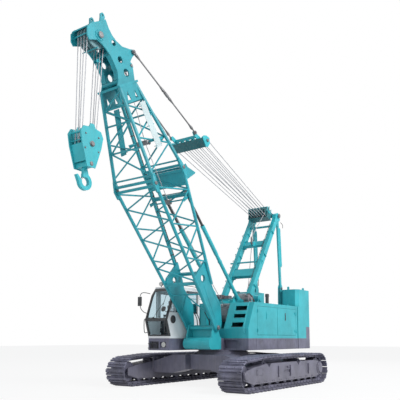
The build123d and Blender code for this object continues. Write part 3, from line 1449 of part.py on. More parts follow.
# ---- pendants -----------------------------------------------------------------------
lug_point = boom_at(PENDANT_S, PENDANT_H, 0)
pendant_top_y = HEAD_HALF + RUN_CLEARANCE + PENDANT_PLATE / 2
with BuildPart() as pendants:
    for sign in SIDES.values():
        half = PENDANT_PLATE / 2
        y = sign * pendant_top_y
        cross_bar(lug_point[0], lug_point[2], y - half, y + half, PENDANT_EYE, sides=20)
        low_y = sign * BAIL_PIN_HALF
        cross_bar(BAIL_PIN_X, BAIL_PIN_Z, low_y - half, low_y + half, PENDANT_EYE, sides=20)
        bar((lug_point[0], y, lug_point[2]), (BAIL_PIN_X, low_y, BAIL_PIN_Z), PENDANT_RADIUS)
        # coupling link half way down
        middle = ((lug_point[0] + BAIL_PIN_X) / 2, (y + low_y) / 2, (lug_point[2] + BAIL_PIN_Z) / 2)
        run = Vector(BAIL_PIN_X, low_y, BAIL_PIN_Z) - Vector(lug_point[0], y, lug_point[2])
        start = Vector(*middle) - run.normalized() * 90
        end = Vector(*middle) + run.normalized() * 90
        bar(tuple(start), tuple(end), 45)
        cross_bar(BAIL_PIN_X, BAIL_PIN_Z, low_y - half, low_y + half, 27, mode=Mode.SUBTRACT)
    reach = pendant_top_y + PENDANT_PLATE / 2 + 20
    cross_bar(lug_point[0], lug_point[2], -reach, reach, PENDANT_PIN_RADIUS)
save(pendants, "pendants")

# ---- backstops ----------------------------------------------------------------------
stop_top = boom_at(STOP_TOP_S, STOP_TOP_H, 0)
stop_run = Vector(stop_top[0] - STOP_X, 0, stop_top[2] - STOP_Z)
stop_dir = stop_run.normalized()


def on_stop(distance, y):
    """Point on a backstop's centre line, measured from its lower pin."""
    return (STOP_X + stop_dir.X * distance, y, STOP_Z + stop_dir.Z * distance)


STOP_BORE = STOP_ROD_RADIUS + 6
with BuildPart() as stop_tubes:
    for sign in SIDES.values():
        y = sign * STOP_HALF
        with BuildSketch(Plane(origin=on_stop(40, y), z_dir=stop_dir)) as section:
            RegularPolygon(STOP_TUBE_RADIUS - 2, 12)
        extrude(section.sketch, amount=STOP_TUBE_LENGTH - 40)
        with BuildSketch(Plane(origin=on_stop(STOP_TUBE_LENGTH - 1150, y), z_dir=stop_dir)) as section:
            RegularPolygon(STOP_TUBE_RADIUS + 6, 12)
        extrude(section.sketch, amount=1150)
        with BuildSketch(Plane(origin=on_stop(200, y), z_dir=stop_dir)) as section:
            RegularPolygon(STOP_BORE, 12)
        extrude(section.sketch, amount=STOP_TUBE_LENGTH, mode=Mode.SUBTRACT)
        cross_bar(STOP_X, STOP_Z, y - 45, y + 45, 62, sides=16)
    reach = STOP_HALF + 50
    cross_bar(STOP_X, STOP_Z, -reach, reach, STOP_PIN_RADIUS)
save(stop_tubes, "backstop_tubes")

with BuildPart() as stop_rods:
    for sign in SIDES.values():
        y = sign * STOP_HALF
        with BuildSketch(Plane(origin=on_stop(2150, y), z_dir=stop_dir)) as section:
            RegularPolygon(STOP_ROD_RADIUS, 12)
        extrude(section.sketch, amount=stop_run.length - 2150)
        cross_bar(stop_top[0], stop_top[2], y - 40, y + 40, 52, sides=16)
    cross_bar(stop_top[0], stop_top[2], -STOP_HALF, STOP_HALF, 28, sides=12)
save(stop_rods, "backstop_rods")

# ---- hook block ---------------------------------------------------------------------
BLOCK_SHIFT = 90  # block centre ahead of the head pin
block_x = pin_x + BLOCK_SHIFT
block_z = pin_z - BLOCK_DROP
cross_z = block_z - 520
BLOCK_SHEAVE_RADIUS = 250
SHANK_RADIUS = 48
with BuildPart() as hook_block:
    for sign in SIDES.values():
        low, high = sorted((sign * BLOCK_HALF, sign * (BLOCK_HALF - BLOCK_PLATE)))
        panel(
            [
                (block_x - 385, block_z + 250),
                (block_x - 325, block_z - 60),
                (block_x - 140, block_z - 610),
                (block_x + 140, block_z - 610),
                (block_x + 325, block_z - 60),
                (block_x + 385, block_z + 250),
                (block_x + 300, block_z + 400),
                (block_x + 115, block_z + 430),
                (block_x + 60, block_z + 535),
                (block_x - 60, block_z + 535),
                (block_x - 115, block_z + 430),
                (block_x - 300, block_z + 400),
            ],
            low,
            high,
        )
    cross_bar(block_x, block_z, -BLOCK_HALF - 30, BLOCK_HALF + 30, BLOCK_PIN_RADIUS)
    for count in range(3):
        sheave(block_x, block_z, (count - 1) * 120, BLOCK_SHEAVE_RADIUS)
    cross_bar(block_x - 250, block_z + 300, -BLOCK_HALF, BLOCK_HALF, 30, sides=12)
    cross_bar(block_x + 250, block_z + 300, -BLOCK_HALF, BLOCK_HALF, 30, sides=12)
    # cross-head that carries the hook
    block(
        block_x - 95, block_x + 95, -BLOCK_HALF, BLOCK_HALF, cross_z - 70, cross_z + 70,
    )
    with BuildSketch(Plane.XY.offset(cross_z - 71)) as section:
        with Locations((block_x, 0)):
            Circle(SHANK_RADIUS + PIN_CLEARANCE)
    extrude(section.sketch, amount=142, mode=Mode.SUBTRACT)
save(hook_block, "hook_block")

hook_z = block_z - HOOK_DROP
with BuildPart() as hook:
    with BuildSketch(Plane.XY.offset(hook_z + HOOK_BOWL + 40)) as section:
        with Locations((block_x, 0)):
            Circle(SHANK_RADIUS)
    extrude(section.sketch, amount=cross_z + 110 - hook_z - HOOK_BOWL - 40)
    # nut above the cross-head
    with BuildSketch(Plane.XY.offset(cross_z + 70 + RUN_CLEARANCE)) as section:
        with Locations((block_x, 0)):
            RegularPolygon(80, 8)
    extrude(section.sketch, amount=70)
    with BuildSketch(sketch_plane(HOOK_THICK / 2)) as section:
        with Locations((block_x, hook_z)):
            Circle(HOOK_BOWL + HOOK_BODY)
            Circle(HOOK_BOWL, mode=Mode.SUBTRACT)
        with BuildLine():
            Polyline(
                (block_x + SHANK_RADIUS + 25, hook_z - 10),
                (block_x + 190, hook_z + 20),
                (block_x + 320, hook_z + 40),
                (block_x + 320, hook_z + 320),
                (block_x + SHANK_RADIUS + 25, hook_z + 320),
                close=True,
            )
        make_face(mode=Mode.SUBTRACT)
        with BuildLine():
            Polyline(
                (block_x + 112, hook_z + 5),
                (block_x + 205, hook_z - 60),
                (block_x + 300, hook_z + 130),
                (block_x + 262, hook_z + 150),
                close=True,
            )
        make_face()
        with BuildLine():
            Polyline(
                (block_x - SHANK_RADIUS, hook_z + HOOK_BOWL + 250),
                (block_x - 120, hook_z + 150),
                (block_x, hook_z + HOOK_BOWL + 5),
                (block_x + 70, hook_z + HOOK_BOWL + 20),
                (block_x + SHANK_RADIUS, hook_z + HOOK_BOWL + 250),
                close=True,
            )
        make_face()
    extrude(section.sketch, amount=HOOK_THICK)
save(hook, "hook")

# ---- cab ----------------------------------------------------------------------------
floor_top = DECK_TOP + CAB_FLOOR
cab_head = CAB_PROFILE[-1][1]
inset_profile = [(x - CAB_WALL, z) for x, z in CAB_PROFILE]
WINDOW_BORDER = 70
with BuildPart() as cab_floor:
    block(CAB_REAR, CAB_PROFILE[0][0], CAB_SIDE_OUT, CAB_SIDE_IN, DECK_TOP, floor_top)
save(cab_floor, "cab_floor")

with BuildPart() as cab_roof:
    block(CAB_REAR, CAB_PROFILE[-1][0], CAB_SIDE_OUT, CAB_SIDE_IN, cab_head, CAB_ROOF)
    chamfer(cab_roof.faces().sort_by(Axis.Z)[-1].edges(), 18)
save(cab_roof, "cab_roof")

window_in, window_out = CAB_SIDE_IN - WINDOW_BORDER, CAB_SIDE_OUT + WINDOW_BORDER
FRONT_WINDOWS = ((1650, 2080), (2180, 3080))
with BuildPart() as cab_front:
    panel(CAB_PROFILE + inset_profile[::-1], CAB_SIDE_OUT, CAB_SIDE_IN)
    for low, high in FRONT_WINDOWS:
        block(1600, 2300, window_out, window_in, low, high, mode=Mode.SUBTRACT)
save(cab_front, "cab_front_frame")

REAR_WINDOW = (2300, 3050)
with BuildPart() as cab_rear:
    block(CAB_REAR, CAB_REAR + CAB_WALL, CAB_SIDE_OUT, CAB_SIDE_IN, floor_top, cab_head)
    block(
        CAB_REAR - 1, CAB_REAR + CAB_WALL + 1, window_out, window_in, *REAR_WINDOW, mode=Mode.SUBTRACT
    )
save(cab_rear, "cab_rear_wall")

SIDE_OUTLINE = [(CAB_REAR + CAB_WALL, floor_top), *inset_profile, (CAB_REAR + CAB_WALL, cab_head)]
INNER_WINDOWS = [
    [(1240, 2380), (2050, 2380), (1850, 2900), (1730, 3090), (1240, 3090)],
    [(560, 2380), (1170, 2380), (1170, 3090), (560, 3090)],
]
with BuildPart() as cab_left:
    panel(SIDE_OUTLINE, CAB_SIDE_IN - CAB_WALL, CAB_SIDE_IN)
    for outline in INNER_WINDOWS:
        panel(outline, CAB_SIDE_IN - CAB_WALL - 1, CAB_SIDE_IN + 1, mode=Mode.SUBTRACT)
save(cab_left, "cab_left_wall")

OUTER_WINDOW = [(1640, 2200), (2090, 2200), (2050, 2360), (1850, 2900), (1730, 3090), (1640, 3090)]
cab_door_heights = (floor_top + 180, 2850)
cab_hinge_y = CAB_SIDE_OUT - HINGE_RADIUS
DOOR_TOP = 3130
with BuildPart() as cab_right:
    panel(SIDE_OUTLINE, CAB_SIDE_OUT, CAB_SIDE_OUT + CAB_WALL)
    panel(OUTER_WINDOW, CAB_SIDE_OUT - 1, CAB_SIDE_OUT + CAB_WALL + 1, mode=Mode.SUBTRACT)
    block(
        CAB_DOOR_REAR, CAB_DOOR_FRONT, CAB_SIDE_OUT - 1, CAB_SIDE_OUT + CAB_WALL + 1,
        floor_top + 40, DOOR_TOP, mode=Mode.SUBTRACT,
    )
    hinge_pins(CAB_DOOR_REAR + DOOR_GAP / 2, cab_hinge_y, CAB_SIDE_OUT, -1, cab_door_heights)
save(cab_right, "cab_right_wall")

DOOR_WINDOW = (CAB_DOOR_REAR + 90, CAB_DOOR_FRONT - 90, 2150, 3030)
with BuildPart() as cab_door:
    block(
        CAB_DOOR_REAR + DOOR_GAP, CAB_DOOR_FRONT - DOOR_GAP, CAB_SIDE_OUT, CAB_SIDE_OUT + CAB_WALL,
        floor_top + 40 + DOOR_GAP, DOOR_TOP - DOOR_GAP,
    )
    block(
        DOOR_WINDOW[0], DOOR_WINDOW[1], CAB_SIDE_OUT - 1, CAB_SIDE_OUT + CAB_WALL + 1,
        DOOR_WINDOW[2], DOOR_WINDOW[3], mode=Mode.SUBTRACT,
    )
    hinge_knuckles(CAB_DOOR_REAR + DOOR_GAP / 2, cab_hinge_y, CAB_SIDE_OUT, 90, cab_door_heights)
save(cab_door, "cab_door")

with BuildPart() as door_glass:
    glass_y = CAB_SIDE_OUT + CAB_WALL / 2
    near, far = glass_y - GLASS / 2, glass_y + GLASS / 2
    block(DOOR_WINDOW[0], DOOR_WINDOW[1], near, far, DOOR_WINDOW[2], DOOR_WINDOW[3])
save(door_glass, "cab_door_glass")

with BuildPart() as cab_glass:
    # front panes follow the frame, side and rear panes sit half way through their walls
    mid_profile = [(x - CAB_WALL / 2, z) for x, z in CAB_PROFILE]
    pane = [(x + GLASS / 2, z) for x, z in mid_profile] + [(x - GLASS / 2, z) for x, z in mid_profile[::-1]]
    panel(pane, window_out, window_in)
    top, sill = FRONT_WINDOWS[1][1], FRONT_WINDOWS[0][0]
    block(1500, 2300, window_out - 1, window_in + 1, top, cab_head + 1, mode=Mode.SUBTRACT)
    block(1500, 2300, window_out - 1, window_in + 1, floor_top - 1, sill, mode=Mode.SUBTRACT)
    block(
        1500, 2300, window_out - 1, window_in + 1, FRONT_WINDOWS[0][1], FRONT_WINDOWS[1][0],
        mode=Mode.SUBTRACT,
    )
    rear_x = CAB_REAR + CAB_WALL / 2
    block(rear_x - GLASS / 2, rear_x + GLASS / 2, window_out, window_in, *REAR_WINDOW)
    inner_y = CAB_SIDE_IN - CAB_WALL / 2
    for outline in INNER_WINDOWS:
        panel(outline, inner_y - GLASS / 2, inner_y + GLASS / 2)
    panel(OUTER_WINDOW, glass_y - GLASS / 2, glass_y + GLASS / 2)
save(cab_glass, "cab_glass")

seat_y = (CAB_SIDE_IN + CAB_SIDE_OUT) / 2
with BuildPart() as seat:
    block(900, 1150, seat_y - 150, seat_y + 150, floor_top, 1900)
    block(820, 1300, seat_y - 240, seat_y + 240, 1900, 2020)
    panel([(820, 2020), (940, 2020), (860, 2620), (770, 2600)], seat_y - 220, seat_y + 220)
    panel([(780, 2660), (850, 2660), (835, 2820), (765, 2810)], seat_y - 120, seat_y + 120)
    block(790, 830, seat_y - 60, seat_y + 60, 2560, 2700)
save(seat, "seat")

with BuildPart() as console:
    for sign in SIDES.values():
        y = seat_y + sign * 330
        block(950, 1450, y - 70, y + 70, floor_top, 2130)
        bar((1380, y, 2120), (1400, y, 2330), 14)
save(console, "console")
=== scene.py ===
from math import atan2, cos, pi, radians, sin, sqrt

import bmesh
import bpy
from mathutils import Matrix, Vector


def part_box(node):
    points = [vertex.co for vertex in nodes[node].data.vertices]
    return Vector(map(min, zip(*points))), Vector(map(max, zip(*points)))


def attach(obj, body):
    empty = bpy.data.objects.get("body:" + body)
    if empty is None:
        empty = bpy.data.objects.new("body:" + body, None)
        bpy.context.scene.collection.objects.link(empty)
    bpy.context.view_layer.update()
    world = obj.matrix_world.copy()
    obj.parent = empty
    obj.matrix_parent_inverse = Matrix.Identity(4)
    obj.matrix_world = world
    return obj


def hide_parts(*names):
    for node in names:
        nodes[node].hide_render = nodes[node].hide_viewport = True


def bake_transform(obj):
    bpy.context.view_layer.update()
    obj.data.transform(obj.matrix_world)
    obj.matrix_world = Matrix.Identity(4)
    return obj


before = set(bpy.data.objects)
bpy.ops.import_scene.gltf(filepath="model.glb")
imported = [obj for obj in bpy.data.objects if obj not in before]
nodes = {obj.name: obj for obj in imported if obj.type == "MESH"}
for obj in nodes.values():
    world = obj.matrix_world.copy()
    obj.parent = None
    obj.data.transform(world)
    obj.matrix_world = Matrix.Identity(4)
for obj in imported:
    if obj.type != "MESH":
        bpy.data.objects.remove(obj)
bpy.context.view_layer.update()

# ---- camera ----
# The crane is seen from a person's height, from ahead of it and on its left, with a
# normal lens that is shifted upward so that the boom stays upright in the picture.
scene = bpy.context.scene
scene.view_settings.view_transform = "Standard"


def stand(name, data, place, direction):
    """Put a camera or a lamp in its place, turned to look in a direction."""
    made = bpy.data.objects.new(name, data)
    made.location = place
    made.rotation_mode = "QUATERNION"
    made.rotation_quaternion = direction.to_track_quat("-Z", "Y")
    scene.collection.objects.link(made)
    return made


lens = bpy.data.cameras.new("camera")
lens.sensor_width = 36
lens.lens = 49.6
lens.shift_x = -0.03
lens.shift_y = 0.17
lens.clip_end = 300
heading, pitch = radians(-145.64), radians(7.29)
looking = Vector((cos(pitch) * cos(heading), cos(pitch) * sin(heading), sin(pitch)))
scene.camera = stand("camera", lens, (15.866, 10.411, 1.526), looking)

# ---- daylight ----
# Soft studio daylight: a broad key from the crane's left, a weak fill from ahead and a
# back light. The sky lights the crane a little and is seen as plain white.


def put(socket, given):
    """Set a shader input to a value, or link it to a node's first output or to an output."""
    if isinstance(given, bpy.types.Node):
        given = given.outputs[0]
    if isinstance(given, bpy.types.NodeSocket):
        socket.id_data.links.new(given, socket)
    else:
        socket.default_value = given


def feed(node, *given, **named):
    """Fill a shader node's inputs, in order or by name."""
    for socket, value in zip(node.inputs, given):
        put(socket, value)
    for name, value in named.items():
        put(node.inputs[name.replace("_", " ")], value)
    return node


def add(tree, kind, *given, **named):
    """Add a shader node: its settings in small letters, its inputs in order or with a capital."""
    made = tree.nodes.new("ShaderNode" + kind)
    for name in [name for name in named if name[0].islower()]:
        setattr(made, name, named.pop(name))
    return feed(made, *given, **named)


def seen(tree):
    """One for what the eye meets, straight, through glass or in a mirror, and nought for light."""
    rays = add(tree, "LightPath").outputs
    share = rays["Is Camera Ray"]
    for kind in ("Is Transmission Ray", "Is Glossy Ray"):
        share = add(tree, "Math", share, rays[kind], operation="MAXIMUM")
    return share


world = bpy.data.worlds.new("sky")
scene.world = world
world.use_nodes = True
sky = world.node_tree
sky.nodes.clear()
sky_light = add(sky, "Background", Color=(0.8, 0.87, 0.95, 1), Strength=0.4)
sky_seen = add(sky, "Background", Color=(1, 1, 1, 1), Strength=1.0)
add(sky, "OutputWorld", Surface=add(sky, "MixShader", seen(sky), sky_light, sky_seen))

for name, place, size, power in (
    ("key_light", (1, 19, 15), 10, 3950),
    ("fill_light", (18, 2, 8), 12, 560),
    ("back_light", (-16, -6, 14), 12, 900),
):
    lamp = bpy.data.lights.new(name, "AREA")
    lamp.size = size
    lamp.energy = power
    stand(name, lamp, place, Vector((0, 0, 4)) - Vector(place))

# ---- yard floor ----
# A flat pale concrete yard. It takes the crane's shadow, and its own brightness stands
# mostly on what the eye and mirrors see of it, so that it meets the white sky.
YARD_REACH, YARD_BRIGHTNESS = 90, 0.87


def finish(name):
    """A new material, with its node tree and its shader."""
    made = bpy.data.materials.new(name)
    made.use_nodes = True
    return made, made.node_tree, made.node_tree.nodes["Principled BSDF"]


floor_mesh = bpy.data.meshes.new("floor")
corners = [(x * YARD_REACH, y * YARD_REACH, 0) for x, y in ((-1, -1), (1, -1), (1, 1), (-1, 1))]
floor_mesh.from_pydata(corners, [], [(0, 1, 2, 3)])
floor = bpy.data.objects.new("floor", floor_mesh)
scene.collection.objects.link(floor)
floor.location.z = -0.002
concrete, yard, shader = finish("yard_floor")
feed(shader, Base_Color=(0.8, 0.8, 0.8, 1), Roughness=0.9)
share = add(yard, "Math", seen(yard), YARD_BRIGHTNESS, operation="MULTIPLY")
both = add(yard, "MixShader", share, shader, add(yard, "Emission", Strength=1.0))
feed(yard.nodes["Material Output"], Surface=both)
floor_mesh.materials.append(concrete)

# ---- crawler tracks ----
# Each track is a chain of cast steel shoes. Every shoe is a plate with three raised pads
# across it, bolted to a pair of link rails that are joined to the next by a floating pin.


def ramp(tree, share, low, high, first, last):
    """A colour that goes from one to another between two shares."""
    made = add(tree, "ValToRGB", share)
    for stop, place, colour in zip(made.color_ramp.elements, (low, high), (first, last)):
        stop.position = place
        stop.color = (*colour, 1)
    return made


def covered(tree, share, under, colour):
    """A colour partly covered by another."""
    return add(tree, "Mix", data_type="RGBA", Factor=share, A=under, B=(*colour, 1)).outputs["Result"]


def enamel(name, colour, shade=0.16, rough=0.38, dust=0.1, metal=0.0, low=0.0):
    """Weathered enamel: colour drift, rain streaks, a dusty film, and a patchy brown darkening towards the
    bottom.
    """
    paint, tree, shader = finish(name)
    place = add(tree, "TexCoord").outputs["Object"]
    drift = add(tree, "TexNoise", Vector=place, Scale=1.7, Detail=7, Roughness=0.62).outputs["Fac"]
    stretch = add(tree, "Mapping", Vector=place, Scale=(9, 9, 0.7))
    streak = add(tree, "TexNoise", Vector=stretch, Scale=2.2, Detail=5).outputs["Fac"]
    dark = [c * (1 - shade) for c in colour]
    light = [min(1, c * (1 + 0.6 * shade) + 0.006) for c in colour]
    film = ramp(tree, streak, 0.46, 0.8, (0, 0, 0), (dust, dust, dust))
    dusty = covered(tree, film, ramp(tree, drift, 0.32, 0.68, dark, light), (0.42, 0.39, 0.34))
    # a patchy brown darkening towards the bottom: as strong as low near the floor, and gone from 1.25 up
    height = add(tree, "SeparateXYZ", place).outputs["Z"]
    bottom_share = add(tree, "MapRange", Value=height, From_Min=0.05, From_Max=1.25, To_Min=low, To_Max=0.0)
    bottom_darkening = add(tree, "Math", bottom_share, drift, operation="MULTIPLY")
    gloss = add(tree, "MapRange", Value=streak, To_Min=rough - 0.08, To_Max=rough + 0.16)
    ripple = add(tree, "TexNoise", Vector=place, Scale=60).outputs["Fac"]
    bump = add(tree, "Bump", Height=ripple, Strength=0.05, Distance=0.002)
    dust_and_bottom_darkening = covered(tree, bottom_darkening, dusty, (0.22, 0.19, 0.16))
    feed(shader, Base_Color=dust_and_bottom_darkening, Roughness=gloss, Normal=bump, Metallic=metal)
    return paint


def dress(paint, *names):
    """Give CAD nodes their finish."""
    for name in names:
        for slot in nodes[name].material_slots:
            slot.material = paint


def aside(y):
    """A step toward the crane's left."""
    return Vector((0, y, 0))


def tilted(origin, along):
    """The placing of a flat layout whose x runs along a direction seen from the crane's side."""
    along = along.normalized()
    turn = Matrix((along, aside(1), Vector((-along.z, 0, along.x)))).transposed().to_4x4()
    turn.translation = origin
    return turn


work = bmesh.new()  # the metalwork in hand: each part below adds to it, and a piece takes it up


def slab(start, end, edge=0.005, turn=None):
    """A plate or bar between two corners, with its edges ground off."""
    low, high = Vector(map(min, start, end)), Vector(map(max, start, end))
    corners = bmesh.ops.create_cube(work, size=1)["verts"]
    for corner in corners:
        corner.co = Vector([low[i] + (corner.co[i] + 0.5) * (high[i] - low[i]) for i in range(3)])
        if turn:
            corner.co = turn @ corner.co
    edges = list({line for corner in corners for line in corner.link_edges})
    bmesh.ops.bevel(work, geom=edges, offset=edge, segments=1, affect="EDGES")


def circle(centre, across, other, radius, sides):
    """Places evenly round a circle."""
    turns = [2 * pi * side / sides for side in range(sides)]
    return [centre + radius * (cos(turn) * across + sin(turn) * other) for turn in turns]


def skin(lines, capped=True):
    """Walls between closed lines of places, and lids on the first and the last of them."""
    rings = [[work.verts.new(place) for place in line] for line in lines]
    if not capped:
        rings.append(rings[0])
    for low, high in zip(rings, rings[1:]):
        for side in range(len(low)):
            after = (side + 1) % len(low)
            work.faces.new((low[side], low[after], high[after], high[side]))
    if capped:
        work.faces.new(rings[0][::-1])
        work.faces.new(rings[-1])


def turned(start, end, profile, sides=20):
    """A part turned on a lathe: pairs of share of the way from start to end, and radius."""
    start, end = Vector(start), Vector(end)
    along = (end - start).normalized()
    across = along.orthogonal().normalized()
    other = along.cross(across)
    skin([circle(start.lerp(end, share), across, other, radius, sides) for share, radius in profile])


def rod(start, end, radius, sides=12):
    """A round bar with its two ends chamfered."""
    length = (Vector(end) - Vector(start)).length
    chamfer = min(0.2 * radius, 0.2 * length) / length
    ends = ((0, radius * 0.8), (chamfer, radius), (1 - chamfer, radius), (1, radius * 0.8))
    turned(start, end, ends, sides)


def crossbar(middle, half, radius, sides=12):
    """A round bar that lies across the crane."""
    rod(middle - aside(half), middle + aside(half), radius, sides)


def bolt(place, outward, size=0.014):
    """A hexagon head on its washer."""
    place, outward = Vector(place), Vector(outward).normalized()
    turned(place - outward * 0.002, place + outward * size * 0.25, ((0, size * 1.25), (1, size * 1.25)), 12)
    turned(place, place + outward * size * 1.1, ((0, size), (0.8, size), (1, size * 0.8)), 6)


def piece(name, paint, body, stands_for=()):
    """Turn the metalwork in hand into one piece that moves with a body of the crane."""
    mesh = bpy.data.meshes.new(name)
    bmesh.ops.recalc_face_normals(work, faces=work.faces)
    work.to_mesh(mesh)
    work.clear()
    made = bpy.data.objects.new(name, mesh)
    scene.collection.objects.link(made)
    mesh.materials.append(paint)
    if stands_for:
        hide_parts(*stands_for)
    if body:
        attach(made, body)
    return made


grey = enamel("grey_enamel", (0.14, 0.14, 0.205), shade=0.34, rough=0.45, dust=0.16, low=0.5)
track_metal = enamel("track_steel", (0.16, 0.16, 0.235), 0.68, rough=0.52, dust=0.14, metal=0.2, low=0.25)
dress(track_metal, "track_wheels_left", "track_wheels_right")

GAUGE, SHOE_WIDTH, SHOE_PITCH, LUG = 4.3, 0.76, 0.232, 0.075
HALF_TRACK, TUMBLER, IDLER = 3.0, 0.36, 0.32
WHEEL_GAP, CHAIN = 0.004, 0.08
TOP_ROLLER = 1.35
belt_tumbler = TUMBLER + WHEEL_GAP + CHAIN
belt_idler = IDLER + WHEEL_GAP + CHAIN
tumbler = (-HALF_TRACK + belt_tumbler + LUG, LUG + belt_tumbler)
idler = (HALF_TRACK - belt_idler - LUG, LUG + belt_idler)
belt_top = tumbler[1] + belt_tumbler
droop_run, droop_drop = idler[0] - TOP_ROLLER, belt_top - idler[1]
droop_length = sqrt(droop_run**2 + droop_drop**2 - belt_idler**2)
droop = atan2(droop_drop, droop_run) - atan2(belt_idler, droop_length)
# each stretch's length, its start or its centre, its first heading, and its radius if it bends
stretches = (
    (TOP_ROLLER - tumbler[0], (tumbler[0], belt_top), 0, 0),
    (droop_length, (TOP_ROLLER, belt_top), -droop, 0),
    ((pi - droop) * belt_idler, idler, -droop, belt_idler),
    (idler[0] - tumbler[0], (idler[0], LUG), pi, 0),
    (pi * belt_tumbler, tumbler, pi, belt_tumbler),
)
loop_length = sum(stretch[0] for stretch in stretches)


def on_track(distance):
    """Place on the chain's outer line."""
    distance %= loop_length
    for length, (x, z), heading, radius in stretches:
        if distance <= length:
            break
        distance -= length
    if radius:
        turn = heading + pi / 2 - distance / radius
        return Vector((x + radius * cos(turn), 0, z + radius * sin(turn)))
    return Vector((x + cos(heading) * distance, 0, z + sin(heading) * distance))


shoes = round(loop_length / SHOE_PITCH)
shoe_step = loop_length / shoes
half = SHOE_WIDTH / 2
for side, sign in (("left", 1), ("right", -1)):
    for shoe in range(shoes):
        start, end = on_track(shoe * shoe_step), on_track((shoe + 1) * shoe_step)
        step = (end - start).length
        turn = tilted(start + aside(sign * GAUGE / 2), end - start)
        slab((0.05 * step, -half, 0.004), (0.95 * step, half, 0.034), 0.006, turn)
        slab((0.76 * step, 0.01 - half, 0.03), (0.9 * step, half - 0.01, 0.062), 0.006, turn)
        for low, high in ((-half, -0.145), (-0.12, 0.12), (0.145, half)):
            slab((0.22 * step, low, 0.03), (0.52 * step, high, 0.066), 0.01, turn)
        for y in (-0.155, 0.155):
            slab((0.04 * step, y - 0.05, -0.074), (0.96 * step, y + 0.05, 0.006), 0.008, turn)
        crossbar(turn @ Vector((0, 0, -0.036)), 0.225, 0.024, 8)
        for y in (-0.3, -0.16, 0.16, 0.3):
            bolt(turn @ Vector((0.64 * step, y, 0.034)), turn.col[2].xyz, 0.013)
    piece(f"track_shoes_{side}", track_metal, "undercarriage", (f"track_{side}",))

# ---- track frames and carbody ----
# Welded box frames under grey enamel, bolted to the carbody's axles. The lower rollers
# hang from their feet on capped bolts, and a planetary drive closes each frame's rear end.
dress(grey, "carbody", "slew_ring", "track_frame_left", "track_frame_right")
worn = enamel("worn_steel", (0.2, 0.2, 0.21), shade=0.3, rough=0.42, dust=0.1, metal=0.7)
rubber = enamel("black_rubber", (0.022, 0.022, 0.026), shade=0.35, rough=0.62, dust=0.22)
FRAME_FACE = GAUGE / 2 + 0.28


def pipe(points, radius, sides=8, joins=6):
    """A hose or bent bar that runs smoothly through its points."""
    points = [Vector(point) for point in points]
    line = []
    for before, low, high, after in zip(points[:1] + points, points, points[1:], points[2:] + points[-1:]):
        for step in range(joins):
            t = step / joins
            bend = (2 * before - 5 * low + 4 * high - after) * t**2
            twist = (3 * low - before - 3 * high + after) * t**3
            line.append(0.5 * (2 * low + (high - before) * t + bend + twist))
    line.append(points[-1])
    across = (line[1] - line[0]).orthogonal().normalized()
    rings = []
    for before, centre, after in zip(line[:1] + line, line, line[1:] + line[-1:]):
        along = (after - before).normalized()
        across = (across - along * across.dot(along)).normalized()
        rings.append(circle(centre, across, along.cross(across), radius, sides))
    skin(rings)


def bolt_ring(centre, radius, count, out, size):
    """Bolts evenly round a circle on a face that looks sideways or upward."""
    other = Vector((0, abs(out[2]), abs(out[1])))
    for place in circle(Vector(centre), Vector((1, 0, 0)), other, radius, count):
        bolt(place, out, size)


def boss(place, out, height, radius, top, share=0.6, sides=24):
    """A round boss or cap: straight for a share of its height, then tapered to its top."""
    place = Vector(place)
    turned(place, place + Vector(out) * height, ((0, radius), (share, radius), (1, top)), sides)


for side, sign in (("left", 1), ("right", -1)):
    out, face = aside(sign), sign * FRAME_FACE
    for count in range(9):
        for across in (-0.055, 0.055):
            bolt((-1.86 + 0.465 * count + across, face, 0.285), out, 0.015)
    drive, nose = Vector((tumbler[0], face, tumbler[1])), Vector((idler[0], face, idler[1]))
    cover = ((0, 0.215), (0.35, 0.215), (0.4, 0.18), (0.9, 0.165), (1, 0.15))
    turned(drive - out * 0.004, drive + out * 0.06, cover, 28)
    bolt_ring(drive + out * 0.018, 0.198, 12, out, 0.012)
    boss(nose - out * 0.004, out, 0.039, 0.12, 0.095)
    bolt_ring(nose + out * 0.021, 0.09, 6, out, 0.012)
    # the opening for the track tensioner's grease cylinder, under a bolted lid
    lid = face + sign * 0.014
    slab((1.55, face, 0.47), (1.93, lid, 0.66), 0.006)
    for x in (1.59, 1.89):
        for z in (0.51, 0.62):
            bolt((x, lid, z), out, 0.01)
    # stiffening ribs on the frame's side
    for x in (-1.55, -0.2, 0.6):
        slab((x - 0.014, face, 0.36), (x + 0.014, face + sign * 0.04, 0.7), 0.006)
    piece(f"track_frame_fittings_{side}", grey, "undercarriage")

# bolts on the carbody's ends, flange plates beside the frames, and the slewing ring's bolts
for x_sign in (1, -1):
    for y_sign in (1, -1):
        for z in (0.56, 0.88):
            bolt((x_sign * 1.442, y_sign * 1.68, z), (x_sign, 0, 0), 0.018)
        x, y = x_sign * 1.18, y_sign * 1.84
        slab((x - 0.3, y - 0.018, 0.5), (x + 0.3, y + 0.018, 0.985), 0.008)
bolt_ring((0, 0, 1.012), 0.925, 40, (0, 0, 1), 0.016)
piece("carbody_bolts", grey, "undercarriage")

for sign in (1, -1):
    for step in (-0.07, 0.0, 0.07):
        mid = ((-1.1, 1.0 + step, 1.02), (-1.22, 1.45 + step, 1.0))
        hose = ((-0.7, 0.3, 1.03), (-0.95, 0.62, 1.05), *mid, (-1.4, 1.8, 0.88))
        pipe([(x, sign * y, z) for x, y, z in hose], 0.019)
piece("travel_motor_hoses", rubber, "undercarriage")

# ---- deck ----
# The revolving frame's skirt is folded plate under grey enamel. A bumper grille, a head
# lamp and two step prongs stand at the cab's corner, and the frame's bolts show.
dress(grey, "deck", "counterweight_base")
black = enamel("black_enamel", (0.03, 0.034, 0.04), shade=0.3, rough=0.42, dust=0.1)
lamp_glass, tree, shader = finish("lamp_glass")
flutes = add(tree, "TexWave", Vector=add(tree, "TexCoord").outputs["Object"], Scale=40).outputs["Fac"]
tone = ramp(tree, flutes, 0, 1, (0.55, 0.55, 0.53), (0.88, 0.88, 0.84))
bump = add(tree, "Bump", Height=flutes, Distance=0.002)
feed(shader, Base_Color=tone, Normal=bump, Roughness=0.08)

